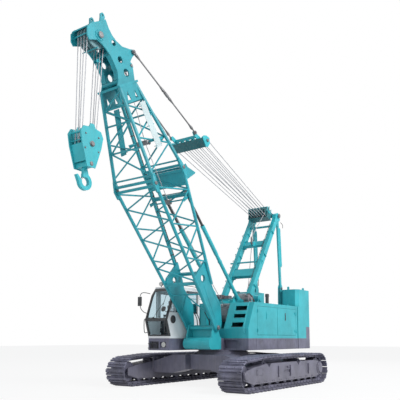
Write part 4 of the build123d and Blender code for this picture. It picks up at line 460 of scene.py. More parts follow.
DECK_FRONT, SIDE_FACE = 2.07, 1.355
for count in range(7):
    z = 1.212 + 0.034 * count
    slab((DECK_FRONT - 0.05, -1.475, z), (DECK_FRONT - 0.012, -1.105, z + 0.012), 0.003)
for y in (-1.4, -1.18):
    slab((DECK_FRONT - 0.055, y - 0.008, 1.204), (DECK_FRONT - 0.03, y + 0.008, 1.43), 0.003)
piece("bumper_grille", black, "upper")
lamp_y, lamp_z = -0.915, 1.331
lens_profile = ((0, 0.06), (0.4, 0.082), (0.8, 0.082), (1, 0.06))
turned((DECK_FRONT - 0.055, lamp_y, lamp_z), (DECK_FRONT - 0.004, lamp_y, lamp_z), lens_profile, 24)
piece("head_lamp", lamp_glass, "upper")
rim_profile = ((0, 0.088), (0.8, 0.092), (1, 0.086))
turned((DECK_FRONT - 0.058, lamp_y, lamp_z), (DECK_FRONT - 0.02, lamp_y, lamp_z), rim_profile, 24)
prong = ((-0.02, -1.44), (0.1, -1.44), (0.13, -1.4), (0.13, -1.16), (0.1, -1.12), (-0.02, -1.12))
for z in (1.22, 1.36):
    pipe([(DECK_FRONT + ahead, y, z) for ahead, y in prong], 0.011)
piece("front_step_and_lamp_rim", black, "upper")

for out in (1, -1):
    y = out * SIDE_FACE
    for count in range(9):
        bolt((-2.9 + 0.42 * count, y, 1.475), (0, out, 0), 0.012)
    for x in (-2.95, -1.45, 0.05):
        slab((x - 0.006, y, 1.165), (x + 0.006, y + out * 0.006, 1.52), 0.002)
piece("deck_skirt_bolts", grey, "upper")

# ---- operator's cab ----
# A pressed steel cab under white enamel, with a black window frame in front. Lightly
# tinted safety glass sits in black rubber, and mirrors, lamps and rails are bolted on.
white = enamel("white_enamel", (0.88, 0.88, 0.89), shade=0.06, rough=0.35, dust=0.06)
cloth = enamel("seat_cloth", (0.035, 0.036, 0.042), shade=0.3, rough=0.85, dust=0.03)
tinted, tree, shader = finish("tinted_glass")
feed(shader, Base_Color=(0.72, 0.82, 0.86, 1), Roughness=0.04, Transmission_Weight=1.0, IOR=1.05)
dress(white, "cab_floor", "cab_roof", "cab_rear_wall", "cab_left_wall", "cab_right_wall", "cab_door")
dress(black, "cab_front_frame", "console")
dress(cloth, "seat")
dress(tinted, "cab_glass", "cab_door_glass")
LEFT_FACE, RIGHT_FACE, REAR_FACE, DOOR_FACE = -0.665, -1.57, 0.42, -1.602


def seal(corners, width, thick, outward):
    """A rubber strip round a window, mitred at its corners."""
    corners = [Vector(corner) for corner in corners]
    crown = Vector(outward) * thick
    middle = sum(corners, Vector()) / len(corners)
    reach = [(middle - corner).normalized() * width * 0.7 for corner in corners]
    inner = [corner + step for corner, step in zip(corners, reach)]
    outer = [corner - step for corner, step in zip(corners, reach)]
    raised = [[place + crown * 0.7 for place in line] for line in (outer, inner)]
    skin([outer, raised[0], [corner + crown for corner in corners], raised[1], inner], False)


for rear, front, front_top in ((1.24, 2.05, 1.8), (0.56, 1.17, 1.17)):
    corners = ((rear, 2.38), (front, 2.38), (front_top, 3.09), (rear, 3.09))
    seal([(x, LEFT_FACE, z) for x, z in corners], 0.022, 0.014, (0, 1, 0))
corners = ((1.64, 2.2), (2.09, 2.2), (2.05, 2.36), (1.85, 2.9), (1.73, 3.09), (1.64, 3.09))
seal([(x, RIGHT_FACE, z) for x, z in corners], 0.022, 0.014, (0, -1, 0))
corners = ((-1.5, 2.3), (-0.735, 2.3), (-0.735, 3.05), (-1.5, 3.05))
seal([(REAR_FACE, y, z) for y, z in corners], 0.022, 0.014, (-1, 0, 0))
# a round inspection cover below the front side window
boss((1.89, LEFT_FACE - 0.002, 2.14), (0, 1, 0), 0.026, 0.13, 0.112, sides=28)
piece("cab_window_rubber", rubber, "upper")

corners = ((0.79, 2.15), (1.47, 2.15), (1.47, 3.03), (0.79, 3.03))
seal([(x, DOOR_FACE, z) for x, z in corners], 0.02, 0.01, (0, -1, 0))
handle = ((-1.6, 1.98), (-1.66, 1.99), (-1.665, 2.06), (-1.6, 2.08))
pipe([(1.5, y, z) for y, z in handle], 0.011)
slab((1.4, -1.622, 1.86), (1.53, -1.6, 1.93), 0.005)
piece("cab_door_rubber_and_handle", rubber, "cab_door")

# the windscreen's wiper lies on the sloping upper pane
low, high = Vector((2.205, -1.22, 2.19)), Vector((2.035, -0.93, 2.68))
pipe((low, low.lerp(high, 0.5) + Vector((0.018, 0, 0.008)), high), 0.007)
rod((2.1, -0.95, 2.49), (1.93, -0.91, 2.95), 0.009, 6)
rod(low - Vector((0.03, 0, 0.01)), low + Vector((0.03, 0, 0.01)), 0.024)
piece("screen_wiper", rubber, "upper")

# mirrors on bent arms, one ahead of the cab's outer corner and a round one inboard
mirror_face = enamel("mirror_silver", (0.62, 0.65, 0.68), shade=0.05, rough=0.12, dust=0.04, metal=0.9)
outer_arm = ((2.09, -1.575, 2.34), (2.2, -1.66, 2.4), (2.3, -1.7, 2.55))
pipe((*outer_arm, (2.32, -1.7, 2.9), (2.22, -1.66, 3.02), (1.96, -1.58, 3.0)), 0.012)
rod((2.31, -1.7, 2.62), (2.34, -1.7, 2.62), 0.02, 8)
pipe(((2.08, -0.7, 2.36), (2.16, -0.74, 2.38), (2.21, -0.79, 2.44)), 0.011)
for y, reach in ((-0.7, 2.27), (-1.545, 2.28)):
    pipe(((2.13, y, 1.72), (2.26, y, 1.74), (reach, y, 2.1), (reach - 0.07, y, 2.16)), 0.013)
pipe(((1.68, -1.6, 1.7), (1.68, -1.66, 1.74), (1.68, -1.66, 2.1), (1.68, -1.6, 2.14)), 0.012)
piece("cab_rails_and_mirror_arms", black, "upper")
slab((2.3, -1.8, 2.58), (2.335, -1.63, 2.88), 0.014)
bowl = ((0, 0.085), (0.2, 0.092), (0.7, 0.08), (1, 0.035))
turned((2.2, -0.8, 2.46), (2.24, -0.8, 2.475), bowl, 24)
piece("mirror_shells", black, "upper")
slab((2.296, -1.785, 2.595), (2.302, -1.645, 2.865), 0.002)
turned((2.197, -0.8, 2.459), (2.201, -0.8, 2.4605), ((0, 0.08), (1, 0.08)), 24)
piece("mirror_glass", mirror_face, "upper")

# work lamps, rails and treads on the roof
lamp_rows = (-1.38, -0.86)
for y in lamp_rows:
    rod((1.62, y, 3.225), (1.62, y, 3.31), 0.014, 8)
    turned((1.56, y, 3.345), (1.665, y, 3.335), ((0, 0.03), (0.4, 0.062), (1, 0.07)), 20)
rail = ((0.52, 3.225), (0.56, 3.275), (0.9, 3.285), (1.24, 3.275), (1.28, 3.225))
for y in (-1.5, -0.735):
    pipe([(x, y, z) for x, z in rail], 0.011)
for x in (0.62, 1.3):
    slab((x, -1.42, 3.226), (x + 0.3, -0.82, 3.246), 0.008)
piece("cab_roof_fittings", black, "upper")
for y in lamp_rows:
    turned((1.663, y, 3.3352), (1.672, y, 3.3343), ((0, 0.064), (1, 0.058)), 20)
piece("work_lamp_glass", lamp_glass, "upper")

# levers, pedals and the switch boxes inside
SEAT_Y = -1.117
for y in [SEAT_Y + off for off in (-0.36, -0.3, 0.3, 0.36)]:
    pipe(((1.28, y, 2.02), (1.31, y, 2.16), (1.33, y, 2.26)), 0.008)
    turned((1.33, y, 2.25), (1.34, y, 2.33), ((0, 0.012), (0.3, 0.024), (0.8, 0.024), (1, 0.01)), 10)
for y in (SEAT_Y - 0.14, SEAT_Y + 0.14):
    pipe(((1.82, y, 1.68), (1.8, y, 1.9), (1.76, y, 2.2)), 0.009)
    slab((1.72, y - 0.045, 1.72), (1.76, y + 0.045, 1.86), 0.008)
for z in (2.48, 2.62):
    x = 2.02 - (z - 2.36) * 0.35
    slab((x, -0.8, z), (x + 0.04, -0.7, z + 0.1), 0.008)
piece("cab_levers", black, "upper")

# ---- machinery houses ----
# Sheet steel under teal enamel, over an angle frame. The side doors hang on welded hinges
# and close on flush latches; the roofs carry rails, a filler, louvres and the exhaust.
teal = enamel("teal_enamel", (0.026, 0.435, 0.495), shade=0.16, dust=0.05)
dress(teal, "house_left", "house_right", "house_door_left_front", "house_door_left_rear", "house_door_right")

# flush paddle latches: a shallow dish with its handle and its lock
for door, x, z, out, paint in (
    ("left_front_door", -0.66, 2.3, 1, teal),
    ("left_rear_door", -2.05, 2.3, 1, black),
    ("right_door", -2.4, 2.3, -1, black),
):
    y = out * SIDE_FACE
    slab((x - 0.026, y, z - 0.14), (x + 0.026, y + out * 0.006, z + 0.14), 0.003)
    slab((x - 0.014, y, z - 0.11), (x + 0.014, y + out * 0.018, z + 0.07), 0.004)
    turned((x, y, z + 0.105), (x, y + out * 0.012, z + 0.105), ((0, 0.012), (1, 0.01)), 12)
    piece(f"{door}_latch", paint, door)

# pressed louvres in the right door
for z in [1.8 + 0.062 * count for count in range(9)]:
    slab((-1.86, -SIDE_FACE, z), (-1.06, -SIDE_FACE - 0.016, z + 0.018), 0.006)
piece("right_door_louvres", teal, "right_door")

# rubber treads in the three steps of the left house, and the grab rails
for z in (1.9, 2.2, 2.45):
    front = 0.545 if z < 2 else 0.545 - (z - 1.85) * 0.46
    slab((0.02, 0.69, z + 0.001), (front, 1.12, z + 0.012), 0.003)
    for x in [front - 0.045 * (count + 1) for count in range(5)]:
        slab((x - 0.008, 0.7, z + 0.01), (x + 0.008, 1.11, z + 0.018), 0.002)
piece("step_treads", rubber, "upper")

rail = ((0.6, 1.7), (0.66, 1.74), (0.66, 1.9), (0.55, 2.2), (0.38, 2.62), (0.29, 2.72))
pipe([(x, 1.25, z) for x, z in rail], 0.014)
rail = ((0.1, 2.72), (0.1, 2.89), (0.05, 2.93), (-2.35, 2.93), (-2.4, 2.89), (-2.4, 2.72))
for y in (-0.55, -1.3):
    pipe([(x, y, z) for x, z in rail], 0.014)
    for x in (-0.7, -1.55):
        rod((x, y, 2.715), (x, y, 2.93), 0.013, 8)
piece("house_hand_rails", teal, "upper")

# roof: bolted hatches, louvres, fuel filler and lifting eyes
for x0, x1, y0, y1 in (
    (-2.9, -1.72, 0.5, 1.28), (-1.62, -1.18, 0.66, 1.28),
    (-2.9, -1.75, -1.28, -0.5), (-1.65, -0.55, -1.28, -0.62),
):
    slab((x0, y0, 2.719), (x1, y1, 2.731), 0.004)
    for x in (x0 + 0.05, (x0 + x1) / 2, x1 - 0.05):
        for y in (y0 + 0.05, y1 - 0.05):
            bolt((x, y, 2.731), (0, 0, 1), 0.01)
for x in [-2.78 + 0.078 * count for count in range(14)]:
    slab((x, -1.16, 2.73), (x + 0.03, -0.62, 2.746), 0.005)
turned((-0.72, -1.12, 2.718), (-0.72, -1.12, 2.79), ((0, 0.07), (0.5, 0.07), (0.55, 0.085), (1, 0.08)))
eye = ((-0.04, 2.715), (-0.04, 2.755), (0, 2.78), (0.04, 2.755), (0.04, 2.715))
for x, y in ((-0.35, 1.2), (-2.6, 1.2), (-0.2, -1.2), (-2.6, -1.2)):
    pipe([(x + along, y, z) for along, z in eye], 0.011)
piece("roof_hatches", teal, "upper")

stack = ((0, 0.115), (0.04, 0.115), (0.05, 0.06), (0.7, 0.06), (0.71, 0.07), (0.96, 0.07), (1, 0.055))
turned((-1.4, 0.98, 2.718), (-1.4, 0.98, 3.1), stack, 24)
piece("exhaust_stack", black, "upper")

# seams of the folded sheet and the rivets that hold the corner angles
for out in (1, -1):
    y = out * SIDE_FACE
    slab((-3.05, y, 2.655), (0.16, y + out * 0.004, 2.668), 0.001)
    slab((-3.046, y, 1.56), (-3.028, y + out * 0.004, 2.71), 0.001)
    for count in range(22):
        bolt((-2.96 + 0.14 * count, y, 2.69), (0, out, 0), 0.006)
    for count in range(12):
        bolt((-2.985, y, 1.6 + 0.09 * count), (0, out, 0), 0.006)
for y in (0.46, 1.315):
    for count in range(7):
        bolt((0.56, y, 1.58 + 0.04 * count), (1, 0, 0), 0.006)
piece("house_seams", teal, "upper")

# ---- engine ----
# A turbocharged diesel in the left house: a cast block with ribs, rocker covers, a
# manifold under a heat shield, the fan and its belt, and an air cleaner above.
dress(black, "engine")
cast_iron = enamel("engine_castings", (0.11, 0.115, 0.12), shade=0.3, rough=0.55, dust=0.22, metal=0.3)
FAN = Vector((-0.575, 0.88, 1.95))
for x in [-1.76 + 0.2 * count for count in range(6)]:
    slab((x - 0.07, 0.7, 2.33), (x + 0.07, 1.02, 2.4), 0.012)
    rod((x, 1.208, 2.18), (x, 1.245, 2.18), 0.045, 14)
    slab((x - 0.01, 1.208, 1.62), (x + 0.01, 1.23, 2.06), 0.004)
manifold = ((-1.8, 1.255, 2.2), (-1.4, 1.262, 2.22), (-1.0, 1.262, 2.22), (-0.76, 1.245, 2.3))
pipe((*manifold, (-0.7, 1.1, 2.42)), 0.04, 12)
cleaner = ((0, 0.1), (0.04, 0.13), (0.9, 0.13), (0.92, 0.1), (1, 0.08))
turned((-1.86, 0.9, 2.5), (-1.3, 0.9, 2.5), cleaner, 24)
turned((-0.601, 0.88, 1.95), (-0.56, 0.88, 1.95), ((0, 0.09), (1, 0.09)))
for blade in range(8):
    spin = Matrix.Translation(FAN) @ Matrix.Rotation(blade * pi / 4, 4, "X") @ Matrix.Rotation(0.5, 4, "Z")
    slab((-0.006, -0.045, 0.08), (0.006, 0.045, 0.27), 0.003, spin)
for y in (0.66, 1.1):
    turned((-0.6, y, 1.7), (-0.565, y, 1.7), ((0, 0.07), (0.3, 0.055), (0.7, 0.055), (1, 0.07)))
piece("engine_fittings", cast_iron, "upper")

# ---- counterweight ----
# Cast iron slabs under teal enamel, stacked on the tail of the frame and held by through
# bolts. Each slab shows its parting line, and two red reflectors face the rear.
dress(teal, "counterweight_main", "counterweight_blocks")
tail_low, tail_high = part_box("counterweight_main")
for y, out in ((tail_high[1], 1), (tail_low[1], -1)):
    slab((-4.05, y - out * 0.004, 2.712), (-3.12, y + out * 0.003, 2.726), 0.002)
for y in (-1.05, -0.8, 0.8, 1.05):
    for z in (2.05, 2.55):
        boss((-4.215, y, z), (-1, 0, 0), 0.017, 0.055, 0.04, sides=20)
for y in (-0.85, 0.85):
    slab((-4.234, y - 0.16, 1.25), (-4.216, y + 0.16, 1.34), 0.004)
piece("counterweight_bolts", teal, "upper")
for y in (-1.12, 1.12):
    slab((-4.24, y - 0.1, 1.66), (-4.214, y + 0.1, 1.74), 0.008)
piece("tail_reflectors", enamel("red_lens", (0.42, 0.03, 0.025), rough=0.2), "upper")

# ---- winches ----
# Welded side plates under teal enamel carry two grooved drums. The rope lies on them in
# even turns, and hydraulic motors with their hoses are flanged to the gearboxes.
teal_inner = enamel("teal_enamel_drums", (0.045, 0.36, 0.41), rough=0.5)
dress(teal_inner, "drum_main", "drum_boom_hoist")
dress(teal, "winch_frame", "boom_foot_mount")
motor_grey = enamel("motor_castings", (0.21, 0.185, 0.2), shade=0.35, rough=0.5, dust=0.2, metal=0.2)

# greasy laid wire: light strands over dark gaps that wind along the rope
wire, tree, shader = finish("wire_rope")
lay = add(
    tree, "TexWave", wave_type="BANDS", bands_direction="DIAGONAL",
    Vector=add(tree, "TexCoord").outputs["Object"], Scale=22, Distortion=0.6,
).outputs["Color"]
strands = ramp(tree, lay, 0, 1, (0.26, 0.26, 0.28), (0.58, 0.59, 0.62))
bump = add(tree, "Bump", Height=lay, Distance=0.003)
feed(shader, Base_Color=strands, Normal=bump, Metallic=0.35, Roughness=0.5)
ROPE = 0.012
MAIN_DRUM, MAIN_BARREL = Vector((-0.42, 0, 2.42)), 0.3
BOOM_DRUM, BOOM_BARREL = Vector((-1.55, 0, 2.95)), 0.2


def winding(centre, radius, half, per_turn=20):
    """Rope laid in a close helix on a drum, as one long tube."""
    steps = int(2 * half / (2.1 * ROPE)) * per_turn
    points = []
    for count in range(steps + 1):
        turn, y = 2 * pi * count / per_turn, half * (2 * count / steps - 1)
        points.append(centre + Vector((radius * cos(turn), y, radius * sin(turn))))
    pipe(points, ROPE, 6, 1)


for name, body, centre, barrel in (
    ("main_drum", "main_drum", MAIN_DRUM, MAIN_BARREL),
    ("boom_drum", "hoist_drum", BOOM_DRUM, BOOM_BARREL),
):
    winding(centre, barrel + ROPE, 0.285)
    piece(f"{name}_rope", wire, body)
    for sign in (-1, 1):
        bolt_ring(centre + aside(sign * 0.322), 0.16, 10, (0, sign, 0), 0.012)
    piece(f"{name}_bolts", teal_inner, body)

# a motor on the left house, the main winch's motor, and their valve blocks
motor = ((0, 0.075), (0.1, 0.12), (0.16, 0.12), (0.18, 0.098), (0.62, 0.098), (0.64, 0.118))
turned((-0.46, 0.61, 2.88), (-0.46, 0.9, 2.88), (*motor, (0.72, 0.118), (0.74, 0.07), (1, 0.062)), 24)
slab((-0.56, 0.63, 2.716), (-0.36, 0.87, 2.79), 0.01)
slab((-0.54, 0.66, 2.96), (-0.38, 0.8, 3.02), 0.012)
boss((-0.42, 0.372, 2.42), (0, 1, 0), 0.04, 0.17, 0.14)
slab((-0.1, -0.24, 2.86), (0.08, 0.02, 3.02), 0.014)
slab((-0.14, 0.08, 2.86), (0.06, 0.3, 2.98), 0.014)
for y in (-0.18, -0.1, -0.02):
    turned((0.08, y, 2.94), (0.125, y, 2.94), ((0, 0.026), (0.5, 0.026), (0.55, 0.018), (1, 0.016)), 10)
piece("winch_motors", motor_grey, "upper")
slab((-0.2, -0.345, 2.84), (0.12, 0.345, 2.862), 0.004)
gear_cover = ((0, 0.15), (0.4, 0.15), (0.5, 0.11), (1, 0.095))
turned(BOOM_DRUM + aside(0.585), BOOM_DRUM + aside(0.64), gear_cover, 28)
bolt_ring(BOOM_DRUM + aside(0.6), 0.132, 10, (0, 1, 0), 0.01)
for x, z in ((0.12, 1.7), (0.12, 2.2), (-0.9, 1.7), (-1.9, 1.7), (-2.3, 1.7), (-1.35, 2.95), (-1.75, 2.95)):
    for y in (0.372, -0.372):
        bolt((x, y, z), (0, y, 0), 0.012)
piece("winch_bolts", teal, "upper")
for step, drop in ((0, 0.0), (0.05, 0.05), (0.1, 0.02)):
    hose = ((-0.52 + step, 0.74, 3.01), (-0.54 + step, 0.74, 3.07 - drop), (-0.66, 0.76, 3.02 - drop))
    pipe((*hose, (-0.7 - step, 0.8, 2.84), (-0.7 - step, 0.82, 2.72)), 0.013)
    y = -0.18 + 1.6 * step
    hose = ((0.12, y, 2.94), (0.22, y, 2.9 - drop), (0.4, -0.12 + step, 2.45))
    pipe((*hose, (0.46, -0.1 + step, 2.05), (0.42, -0.2 + step, 1.6)), 0.014)
for y in (-0.3, -0.2, 0.18, 0.28):
    pipe(((1.02, y, 1.6), (1.06, y, 2.05), (1.16, y * 0.9, 2.22), (1.3, y * 0.9, 2.38)), 0.015)
piece("winch_hoses", rubber, "upper")

# pins of the boom's feet with their keeper plates
for sign in (1, -1):
    boss((1.18, sign * 0.615, 1.87), (0, sign, 0), 0.035, 0.07, 0.058, 0.7, 20)
    slab((1.165, sign * 0.618, 1.79), (1.195, sign * 0.634, 1.95), 0.004)
piece("boom_foot_pin_keepers", worn, "upper")

# ---- gantry ----
# An A-frame of welded box legs under teal enamel with two deep beams. Its feet and the
# stays are pinned, and the boom hoist rope's dead end is wedged in a socket on a beam.
dress(teal, "gantry_frame", "gantry_stays")
GANTRY_FOOT, APEX = Vector((-0.88, 0, 2.96)), Vector((-3.05, 0, 6.28))


def on_leg(z):
    """Place on the line of the gantry's legs at a height."""
    return GANTRY_FOOT.lerp(APEX, (z - GANTRY_FOOT.z) / (APEX.z - GANTRY_FOOT.z))


def pin_ends(middle, half, radius, stand=0.035):
    """Both ends of a pin across the crane: a collar, a retaining plate and two bolts on each."""
    profile = ((0, radius * 1.25), (0.45, radius * 1.25), (0.5, radius), (0.9, radius), (1, radius * 0.85))
    for sign in (1, -1):
        place, out = middle + aside(sign * half), aside(sign)
        turned(place, place + out * stand, profile, 18)
        for across in (-0.77, 0.77):
            bolt(place + out * stand * 0.45 + Vector((across * radius, 0, 0)), out, radius * 0.16)


pin_ends(GANTRY_FOOT, 0.648, 0.06)
pin_ends(APEX, 0.65, 0.07)
pin_ends(Vector((-3.29, 0, 3.45)), 0.58, 0.045)
piece("gantry_pins", worn, "upper")

# welded plates on the legs, gussets where the deep beams meet them, and the socket's bracket
lean = (APEX - GANTRY_FOOT).to_track_quat("X", "Y").to_matrix().to_4x4()
for sign in (1, -1):
    for y, high, wide, heights in (
        (0.53, 0.081, 0.111, (3.4, 4.6, 5.55)),
        (0.4, 0.055, 0.055, (3.72, 4.08, 4.97, 5.23)),
    ):
        for z in heights:
            turn = Matrix.Translation(on_leg(z) + aside(sign * y)) @ lean
            slab((-0.012, -high, -wide), (0.012, high, wide), 0.004, turn)
spot = on_leg(5.1)
for y in (-0.05, 0.05):
    slab((spot.x + 0.04, y - 0.01, 5.02), (spot.x + 0.26, y + 0.01, 5.18), 0.004)
# rungs on the right leg
rung = ((0.05, -0.6, 0.03), (0.05, -0.7, 0.03), (-0.16, -0.7, -0.08), (-0.16, -0.6, -0.08))
for spot in [on_leg(3.35 + 0.27 * count) for count in range(9)]:
    pipe([spot + Vector(corner) for corner in rung], 0.01, 6, 3)
piece("gantry_gussets", teal, "upper")

socket = on_leg(5.1) + Vector((0.22, 0, 0))
crossbar(socket, 0.07, 0.022)
wedge = ((0, 0.03), (0.3, 0.052), (0.8, 0.038), (1, 0.022))
turned(socket + Vector((-0.02, 0, -0.04)), socket + Vector((0.05, 0, 0.26)), wedge, 12)
piece("dead_end_socket", worn, "upper")

# hoses of the stays, cable clips and the wind gauge's wire up the left leg
for sign in (1, -1):
    for hose, thick in (
        (((-3.36, 0.48, 3.62), (-3.37, 0.47, 4.1), (-3.44, 0.46, 4.28)), 0.012),
        (((-3.44, 0.6, 5.86), (-3.4, 0.62, 5.98), (-3.28, 0.6, 6.06)), 0.01),
    ):
        pipe([(x, sign * y, z) for x, y, z in hose], thick)
for spot in [on_leg(3.3 + 0.34 * count) for count in range(8)]:
    slab(spot + Vector((0.02, 0.44, 0.1)), spot + Vector((0.06, 0.47, 0.13)), 0.004)
pipe([on_leg(3.2 + 0.44 * count) + Vector((0.105, 0.455, 0.085)) for count in range(7)], 0.009)
piece("gantry_hoses", rubber, "upper")

# ---- gantry sheaves ----
# Seven cast steel sheaves on one pin between two plates, swung from the gantry's top. Rope
# keeper bars run across them on bolted straps.
steel_teal = enamel("sheave_enamel", (0.022, 0.165, 0.19), shade=0.3, rough=0.42, dust=0.2)
dress(steel_teal, "gantry_nest")
NEST_AXIS, NEST_STEP = Vector((-2.65, 0, 6.38)), 0.1178


def hubs(axis, places, gap, *sizes):
    """Hubs on both faces of every sheave along a pin."""
    for y in places:
        for face in (-1, 1):
            boss(axis + aside(y + face * gap), (0, face, 0), *sizes)


nest_frame = tilted(NEST_AXIS, NEST_AXIS - APEX)
for ahead, over in ((0.0, 0.228), (0.16, 0.165), (-0.17, 0.155)):
    crossbar(nest_frame @ Vector((ahead, 0, over)), 0.42, 0.013, 10)
for sign in (1, -1):
    y = sign * 0.415
    for ahead, over in ((-0.16, 0.19), (0.0, 0.248), (0.14, 0.19)):
        slab((ahead - 0.022, y - 0.007, 0.0), (ahead + 0.022, y + 0.007, over), 0.003, nest_frame)
pin_ends(NEST_AXIS, 0.42, 0.05)
piece("gantry_sheave_guards", teal, "gantry_nest")
hubs(NEST_AXIS, [NEST_STEP * (count - 3) for count in range(7)], 0.006, 0.0165, 0.072, 0.06, 0.7, 18)
piece("gantry_sheave_hubs", worn, "gantry_nest")

# ---- spreader ----
# The boom hoist's outer sheaves sit in a welded frame under teal enamel. Its side plates
# take the pendants' pins, and a darker cover plate shields the ropes from below.
dress(teal, "spreader")
SPREADER_AXIS, PENDANT_FOOT = Vector((1.85, 0, 7.85)), Vector((2.29, 0, 8.01))
SPREADER_STEP, SPREADER_HALF = 0.21333, 0.64
pin_ends(SPREADER_AXIS, 0.655, 0.045)
pin_ends(PENDANT_FOOT, 0.515, 0.026, 0.022)
piece("spreader_pins", worn, "spreader")
cover_top, cover_low = Vector((2.098, 0, 7.876)), Vector((1.914, 0, 7.622))
turn = tilted(cover_top, cover_low - cover_top)
length = (cover_low - cover_top).length
slab((0.006, -0.625, 0.004), (length - 0.006, 0.625, 0.02), 0.003, turn)
slab((0.006, -0.625, -0.03), (length - 0.006, 0.625, -0.018), 0.003, turn)
for y in (-0.58, -0.36, -0.13, 0.13, 0.36, 0.58):
    slab((0.02, y - 0.008, -0.045), (length - 0.02, y + 0.008, -0.02), 0.003, turn)
piece("spreader_cover_plates", steel_teal, "spreader")
places = [0.213 * (count + 0.5) - SPREADER_HALF for count in range(6)]
hubs(SPREADER_AXIS, places, 0.006, 0.024, 0.06, 0.048, 0.7, 16)
piece("spreader_sheave_hubs", worn, "spreader")

# ---- boom ----
# A lattice of steel tube under teal enamel in two sections, pinned together at four eyes.
# Its foot plates carry doubling rings, and blank name boards hang on both sides of the tip.
# The boom's teal is painted darker than the house's teal: painted shade, standing in for the shade on the
# lattice's tubes and inner faces. The name boards' backs and the boom's fittings carry it too.
boom_teal_painted_dark = enamel("boom_enamel_painted_shade", (0.01, 0.322, 0.385), shade=0.2, rough=0.38, dust=0.05)
dress(boom_teal_painted_dark, "boom_base_left", "boom_base_right", "boom_base_lacing")
dress(boom_teal_painted_dark, "boom_tip_left", "boom_tip_right", "boom_tip_lacing", "boom_head")
BOOM_FOOT, BOOM_ANGLE = Vector((1.18, 0, 1.87)), radians(57.9)
along_boom = Vector((cos(BOOM_ANGLE), 0, sin(BOOM_ANGLE)))
above_boom = Vector((-sin(BOOM_ANGLE), 0, cos(BOOM_ANGLE)))
WIDENS, JOINT, TIP_END = 0.4, 5.1, 7.75


def on_boom(s, h, y=0.0):
    """A place along the boom from its foot pin, above its axis and across it."""
    return BOOM_FOOT + along_boom * s + above_boom * h + aside(y)


def between(s, start, foot, joint, tip):
    """A size of the boom that runs straight from its foot to the joint and on to its tip."""
    if s < JOINT:
        return foot + (joint - foot) * max(0, s - start) / (JOINT - start)
    return joint + (tip - joint) * (s - JOINT) / (TIP_END - JOINT)


def half_width(s):
    """Half of the boom's width between chord centres."""
    return between(s, WIDENS, 0.55, 0.7425, 0.35)


def front_h(s):
    """Height of the front chords."""
    return between(s, 0, -0.07, -0.74, -0.32)


def rear_h(s):
    """Height of the rear chords."""
    return between(s, 0, 0.33, 0.74, 0.38)


def boom_plate(outline, y_start, y_end, edge=0.004):
    """A plate cut to an outline of places along and above the boom, its rim ground off."""
    low, high = (
        [work.verts.new(on_boom(s, h, y)) for s, h in outline] for y in sorted((y_start, y_end))
    )
    faces = [work.faces.new(low), work.faces.new(high[::-1])]
    for step in range(len(outline)):
        after = (step + 1) % len(outline)
        faces.append(work.faces.new((low[step], high[step], high[after], low[after])))
    rim = [line for face in faces[:2] for line in face.edges]
    bmesh.ops.bevel(work, geom=rim, offset=edge, segments=1, affect="EDGES")


def boom_hoop(s, h, y, radius, thick, count):
    """A round bar welded round a hole in one of the boom's plates."""
    places = circle(on_boom(s, h, y), along_boom, above_boom, radius, count)
    for start, end in zip(places, places[1:] + places[:1]):
        rod(start, end, thick, 6)


# section pins with their heads and spring clips
for sign in (1, -1):
    for height in (front_h, rear_h):
        spot = on_boom(JOINT - 0.005, height(JOINT), sign * (half_width(JOINT) + 0.03))
        rod(spot - aside(sign * 0.13), spot + aside(sign * 0.028), 0.034, 14)
        boss(spot + aside(sign * 0.002), (0, sign, 0), 0.018, 0.052, 0.044, 0.7, 16)
        clip = [(0.045 * cos(turn), sign * 0.03, 0.045 * sin(turn)) for turn in (0.2, 1.4, 2.8, 4.2, 5.6)]
        pipe([spot + Vector(bend) for bend in clip], 0.004, 6, 4)
piece("boom_section_pins", worn, "boom")

# rings round the openings of the foot plates, pads at the foot pin, and plate stiffeners
for sign in (1, -1):
    face = sign * 0.585
    boom_hoop(1.71, 0.11, face, 0.118, 0.01, 28)
    boss(on_boom(0, 0, face - sign * 0.002), (0, sign, 0), 0.016, 0.112, 0.104, sides=28)
    for strap in (
        ((0.3, 0.02), (1.45, 0.02), (1.5, 0.05), (1.45, 0.08), (0.3, 0.08)),
        ((0.55, 0.5), (0.95, 0.42), (1.5, 0.44), (1.5, 0.4), (0.95, 0.38), (0.52, 0.46)),
    ):
        boom_plate(strap, face, face + sign * 0.01)
    # light bracing between the foot plates
    rod(on_boom(1.33, front_h(1.33), 0), on_boom(0.62, front_h(0.62), sign * 0.52), 0.022, 10)
crossbar(on_boom(1.35, front_h(1.35)), 0.52, 0.026, 10)
# pressed vees on the rope guard
for y in (-0.5, -0.25, 0, 0.25, 0.5):
    for lean in (-0.11, 0.11):
        start, end = on_boom(4.62, rear_h(4.62) + 0.022, y), on_boom(5.02, rear_h(5.02) + 0.022, y + lean)
        rod(start, end, 0.012, 6)
# weld collars where the chords meet the joint's eyes
for sign in (1, -1):
    for height in (front_h, rear_h):
        for s in (4.82, 5.38):
            ends = [on_boom(end, height(end), sign * half_width(end)) for end in (s - 0.012, s + 0.012)]
            turned(*ends, ((0, 0.051), (0.3, 0.057), (0.7, 0.057), (1, 0.051)), 14)
piece("boom_stiffeners", boom_teal_painted_dark, "boom")

# name boards of folded sheet on clips, left blank
board_white = enamel("board_enamel", (0.52, 0.62, 0.63), shade=0.08, rough=0.4, dust=0.12)
BOARD_START, BOARD_END = 5.92, 7.22
fold = ((-0.128, 0.0), (-0.124, 0.006), (0.124, 0.006), (0.128, 0.0), (0.116, -0.012), (-0.116, -0.012))


def board_h(s):
    """Height of the name boards' middle line."""
    return 0.06 + 0.17 * (s - 5.9) / 1.35


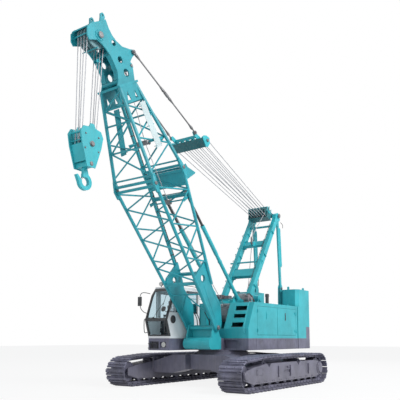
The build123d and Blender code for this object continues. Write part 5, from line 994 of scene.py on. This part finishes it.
for sign in (1, -1):
    rings = []
    for s in [BOARD_START + (BOARD_END - BOARD_START) * part / 6 for part in range(7)]:
        y = half_width(s) + 0.066
        rings.append([on_boom(s, board_h(s) + rise, sign * (y + out)) for rise, out in fold])
    skin(rings)
boards = piece("name_boards", board_white, "boom")
boards.data.materials.append(boom_teal_painted_dark)
for face in boards.data.polygons:
    if face.normal.y * face.center.y < 0:
        face.material_index = 1
for sign in (1, -1):
    for s in (5.98, 6.55, 7.12):
        h, y = board_h(s), half_width(s)
        bar = sign * (y + 0.056)
        rod(on_boom(s, h - 0.15, bar), on_boom(s, h + 0.15, bar), 0.011, 6)
        for rise in (-0.11, 0.11):
            ends = [on_boom(s, h + rise, sign * (y + reach)) for reach in (-0.015, 0.064)]
            rod(*ends, 0.01, 6)
            bolt(on_boom(s, h + rise, sign * (y + 0.07)), (0, sign, 0), 0.011)
piece("name_board_clips", boom_teal_painted_dark, "boom")

# the rope's rollers inside the boom on their brackets, and the wires along a rear chord
ROLLERS = ((6.1, 0.3, 0.2), (4.2, 0.42, 0.12))
barrel = ((0, 0.05), (0.02, 0.085), (0.05, 0.07), (0.95, 0.07), (0.98, 0.085), (1, 0.05))
for s, h, half in ROLLERS:
    turned(on_boom(s, h, -half), on_boom(s, h, half), barrel)
piece("boom_rope_rollers", worn, "boom")
for s, h, half in ROLLERS:
    top, reach = rear_h(s) - 0.01, half_width(s) - 0.045
    bracket = ((s - 0.06, h - 0.05), (s + 0.06, h - 0.05), (s + 0.03, top), (s - 0.03, top))
    for sign in (1, -1):
        rod(on_boom(s, h, sign * (half - 0.02)), on_boom(s, h, sign * reach), 0.022, 10)
        boom_plate(bracket, sign * reach, sign * (reach - 0.014))
piece("boom_roller_brackets", boom_teal_painted_dark, "boom")
clip_profile = ((0, 0.053), (0.2, 0.056), (0.8, 0.056), (1, 0.053))
for lift in (0.02, 0.044):
    places = [1.8 + 0.66 * count for count in range(10)]
    pipe([on_boom(s, rear_h(s) + 0.055, lift - half_width(s)) for s in places], 0.009)
for s in [1.95 + 0.49 * count for count in range(12)]:
    ends = [on_boom(end, rear_h(s), -half_width(s)) for end in (s - 0.012, s + 0.012)]
    turned(*ends, clip_profile, 12)
piece("boom_cables", rubber, "boom")

# ---- boom head ----
# Two thick side plates under teal enamel carry the pin of the head sheaves. Covers, rope
# keepers and the ears for a rope's socket are bolted or welded on.
sheave_paint = enamel("sheave_castings", (0.17, 0.34, 0.375), shade=0.35, rough=0.45, dust=0.1)
dress(sheave_paint, "head_sheaves")
HEAD_PIN, PENDANT_TOP = on_boom(9.13, -0.35), on_boom(8.535, 0.778)
HEAD_SHEAVES = (-0.174, -0.058, 0.058, 0.174)
pin_ends(HEAD_PIN, 0.372, 0.07, 0.03)
pin_ends(PENDANT_TOP, 0.396, 0.028, 0.014)
pin_ends(on_boom(8.21, 0.52), 0.322, 0.036, 0.024)
piece("head_pins", worn, "boom")
hubs(HEAD_PIN, HEAD_SHEAVES, 0.012, 0.022, 0.095, 0.08, 0.8)
piece("head_sheave_hubs", worn, "fall")
for sign in (1, -1):
    face = sign * 0.32
    for s, h, radius in ((8.88, 0.1, 0.084), (8.43, 0.13, 0.098), (8.07, 0.2, 0.111)):
        boom_hoop(s, h, face, radius, 0.007, 24)
    boss(HEAD_PIN + aside(face), (0, sign, 0), 0.018, 0.15, 0.138, sides=32)
    bolt_ring(HEAD_PIN + aside(face + sign * 0.016), 0.122, 8, (0, sign, 0), 0.011)
# rope keeper bars round the sheaves
for turn in (0.45, 1.25, 2.05, -1.15, -2.5):
    crossbar(HEAD_PIN + 0.335 * (cos(turn) * along_boom + sin(turn) * above_boom), 0.284, 0.016, 10)
# ears for the hoist rope's wedge socket under the head
for y in (-0.05, 0.05):
    boom_plate(((8.5, -0.36), (8.62, -0.36), (8.6, -0.5), (8.53, -0.52)), y - 0.012, y + 0.012)
piece("head_fittings", boom_teal_painted_dark, "boom")

# ---- pendants ----
# A pair of bridle ropes from the head to the spreader, each in two lengths with forged
# sockets at the ends and a shackle link between them.
dress(worn, "pendants")
socket_profile = ((0, 0.04), (0.25, 0.044), (0.7, 0.032), (1, 0.025))
for sign in (1, -1):
    top = PENDANT_TOP + aside(sign * 0.352)
    run = PENDANT_FOOT + aside(sign * 0.478) - top
    for share, reach in ((0.055, 0.1), (0.43, -0.1), (0.57, 0.1), (0.915, -0.1)):
        spot, half = top + run * share, run.normalized() * reach
        turned(spot - half, spot + half, socket_profile, 14)
piece("pendant_sockets", worn, "pendants")

# ---- backstops ----
# Two telescopic struts that stop the boom from going over backward: teal tubes with
# guide collars, and dark rods that slide in them against a spring.
dress(teal, "backstop_tubes")
dress(black, "backstop_rods")
STOP_FOOT, stop_along = Vector((-0.3, 0, 2.9)), Vector((0.69598, 0, 0.71807))
for y in (0.432, -0.432):
    for distance in (0.3, 1.6, 3.0):
        ends = [STOP_FOOT + stop_along * (distance + end) + aside(y) for end in (-0.035, 0.035)]
        turned(*ends, ((0, 0.062), (0.2, 0.072), (0.8, 0.072), (1, 0.062)), 18)
piece("backstop_collars", teal, "backstop_tubes")

# ---- boom hoist rope ----
# One wire rope in twelve parts between the gantry's sheaves and the spreader's. It comes
# up from the boom hoist drum, and its dead end hangs in the socket on the gantry's beam.
NEST_RADIUS, SPREADER_RADIUS, HALF_STEP = 0.19, 0.15, 0.059


def ropes(runs, radius=ROPE, steps=12):
    """Straight parts of rope between pairs of places, each cut into equal lengths."""
    for start, end in runs:
        pipe([start.lerp(end, step / steps) for step in range(steps + 1)], radius, 6, 1)


def stretched(name, start, end, runs=(), radius=ROPE, steps=12):
    """Rope from one place to another, in one run unless more are given."""
    ropes(runs or [(start, end)], radius, steps)
    made = piece(name, wire, None)
    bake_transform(made)


runs = []
toward = (SPREADER_AXIS - NEST_AXIS).normalized()
rise = Vector((-toward.z, 0, toward.x))
for count in range(6):
    y_nest = NEST_STEP * (count - 3) + HALF_STEP
    y_spread = SPREADER_STEP * (count + 0.5) - SPREADER_HALF
    for over in (1, -1):
        start = NEST_AXIS + rise * over * NEST_RADIUS + aside(y_nest - HALF_STEP * over)
        runs.append((start, SPREADER_AXIS + rise * over * SPREADER_RADIUS + aside(y_spread)))
stretched("boom_hoist_rope", NEST_AXIS, SPREADER_AXIS, runs)

start = BOOM_DRUM + Vector((-0.205, -0.05, 0.05))
end = NEST_AXIS + Vector((-0.19, -0.353, -0.03))
stretched("boom_hoist_lead", start, end, steps=16)
start = socket + Vector((0.045, 0, 0.24))
end = NEST_AXIS + Vector((0.19, 0.353, -0.04))
stretched("boom_hoist_dead_end", start, end, steps=8)

# ---- hoist rope ----
# The load rope leaves the main drum, runs inside the boom over its rollers and the head's
# roller, and falls in eight parts between the head sheaves and the hook block.
HEAD_RADIUS, LEAD_Y, LEAD_SHEAVE_Y = 0.29, -0.02, -0.058
BLOCK_PIN = Vector((HEAD_PIN.x + 0.09, 0, HEAD_PIN.z - 2.97))
start = MAIN_DRUM + Vector((0.245, -0.02, 0.195))
end = on_boom(4.2, 0.5, LEAD_Y)
stretched("hoist_rope_lead", start, end, steps=24)
low, high, over = on_boom(6.1, 0.382, LEAD_Y), on_boom(8.16, 0.64, LEAD_Y), on_boom(8.26, 0.64, LEAD_Y)
sheave = HEAD_PIN + aside(LEAD_SHEAVE_Y)
ropes([(end, low), (low, high), (over, sheave + above_boom * HEAD_RADIUS)], steps=2)
turns = [pi / 2 - 0.3 * count for count in range(9)]
bend = [sheave + HEAD_RADIUS * (cos(turn) * along_boom + sin(turn) * above_boom) for turn in turns]
pipe(bend, ROPE, 6, 2)
piece("hoist_rope_on_boom", wire, "boom")
for y in HEAD_SHEAVES:
    if y != LEAD_SHEAVE_Y:
        turns = [pi * count / 10 for count in range(11)]
        bend = [HEAD_PIN + Vector((HEAD_RADIUS * cos(turn), y, HEAD_RADIUS * sin(turn))) for turn in turns]
        pipe(bend, ROPE, 6, 2)
piece("hoist_rope_on_sheaves", wire, "fall")

runs = []
for y_head, y_block in zip(HEAD_SHEAVES, (-0.12, -0.02, 0.02, 0.12)):
    for side in (1, -1):
        start = HEAD_PIN + Vector((side * HEAD_RADIUS, y_head, 0))
        runs.append((start, BLOCK_PIN + Vector((side * 0.23, y_block, 0))))
start, end = HEAD_PIN - Vector((0, 0, 0.35)), BLOCK_PIN + Vector((0, 0, 0.3))
stretched("hoist_rope", start, end, runs, radius=0.0135, steps=14)

# ---- hook block ----
# Three sheaves between two thick cheek plates under teal enamel, with rope keepers and
# tie bolts. The forged hook turns in the cross-head and has a sprung latch.
dress(teal, "hook_block", "hook")
pin_ends(BLOCK_PIN, 0.25, 0.06, 0.046)
pin_ends(BLOCK_PIN + Vector((0, 0, -0.52)), 0.25, 0.045, 0.022)
for y in (-0.25, 0.25):
    for x, z in ((-0.22, 0.22), (0.22, 0.22), (-0.23, -0.16), (0.23, -0.16)):
        bolt(BLOCK_PIN + Vector((x, y, z)), (0, y, 0), 0.02)
piece("hook_block_pins", worn, "hook_block")
for facing in (1, -1):
    high, low = BLOCK_PIN + Vector((facing * 0.268, 0, -0.02)), BLOCK_PIN + Vector((facing * 0.15, 0, -0.455))
    slab((0, -0.216, -0.008), ((low - high).length, 0.216, 0.008), 0.004, tilted(high, low - high))
    crossbar(BLOCK_PIN + Vector((facing * 0.262, 0, 0.075)), 0.216, 0.014, 10)
for y in (-0.062, 0.062):
    slab(BLOCK_PIN + Vector((-0.2, y - 0.006, -0.3)), BLOCK_PIN + Vector((0.2, y + 0.006, -0.255)), 0.003)
piece("hook_block_covers", teal, "hook_block")
hook_pin = BLOCK_PIN + Vector((0, 0, -0.96))
gate = [hook_pin + Vector((x, 0, z)) for x, z in ((-0.035, 0.15), (0.05, 0.11), (0.125, 0.03))]
for across in (-0.03, 0.03):
    pipe([place + aside(across) for place in gate], 0.007, 6, 4)
crossbar(gate[0], 0.045, 0.012, 8)
crossbar(gate[2], 0.04, 0.01, 8)
piece("hook_latch", worn, "hook")
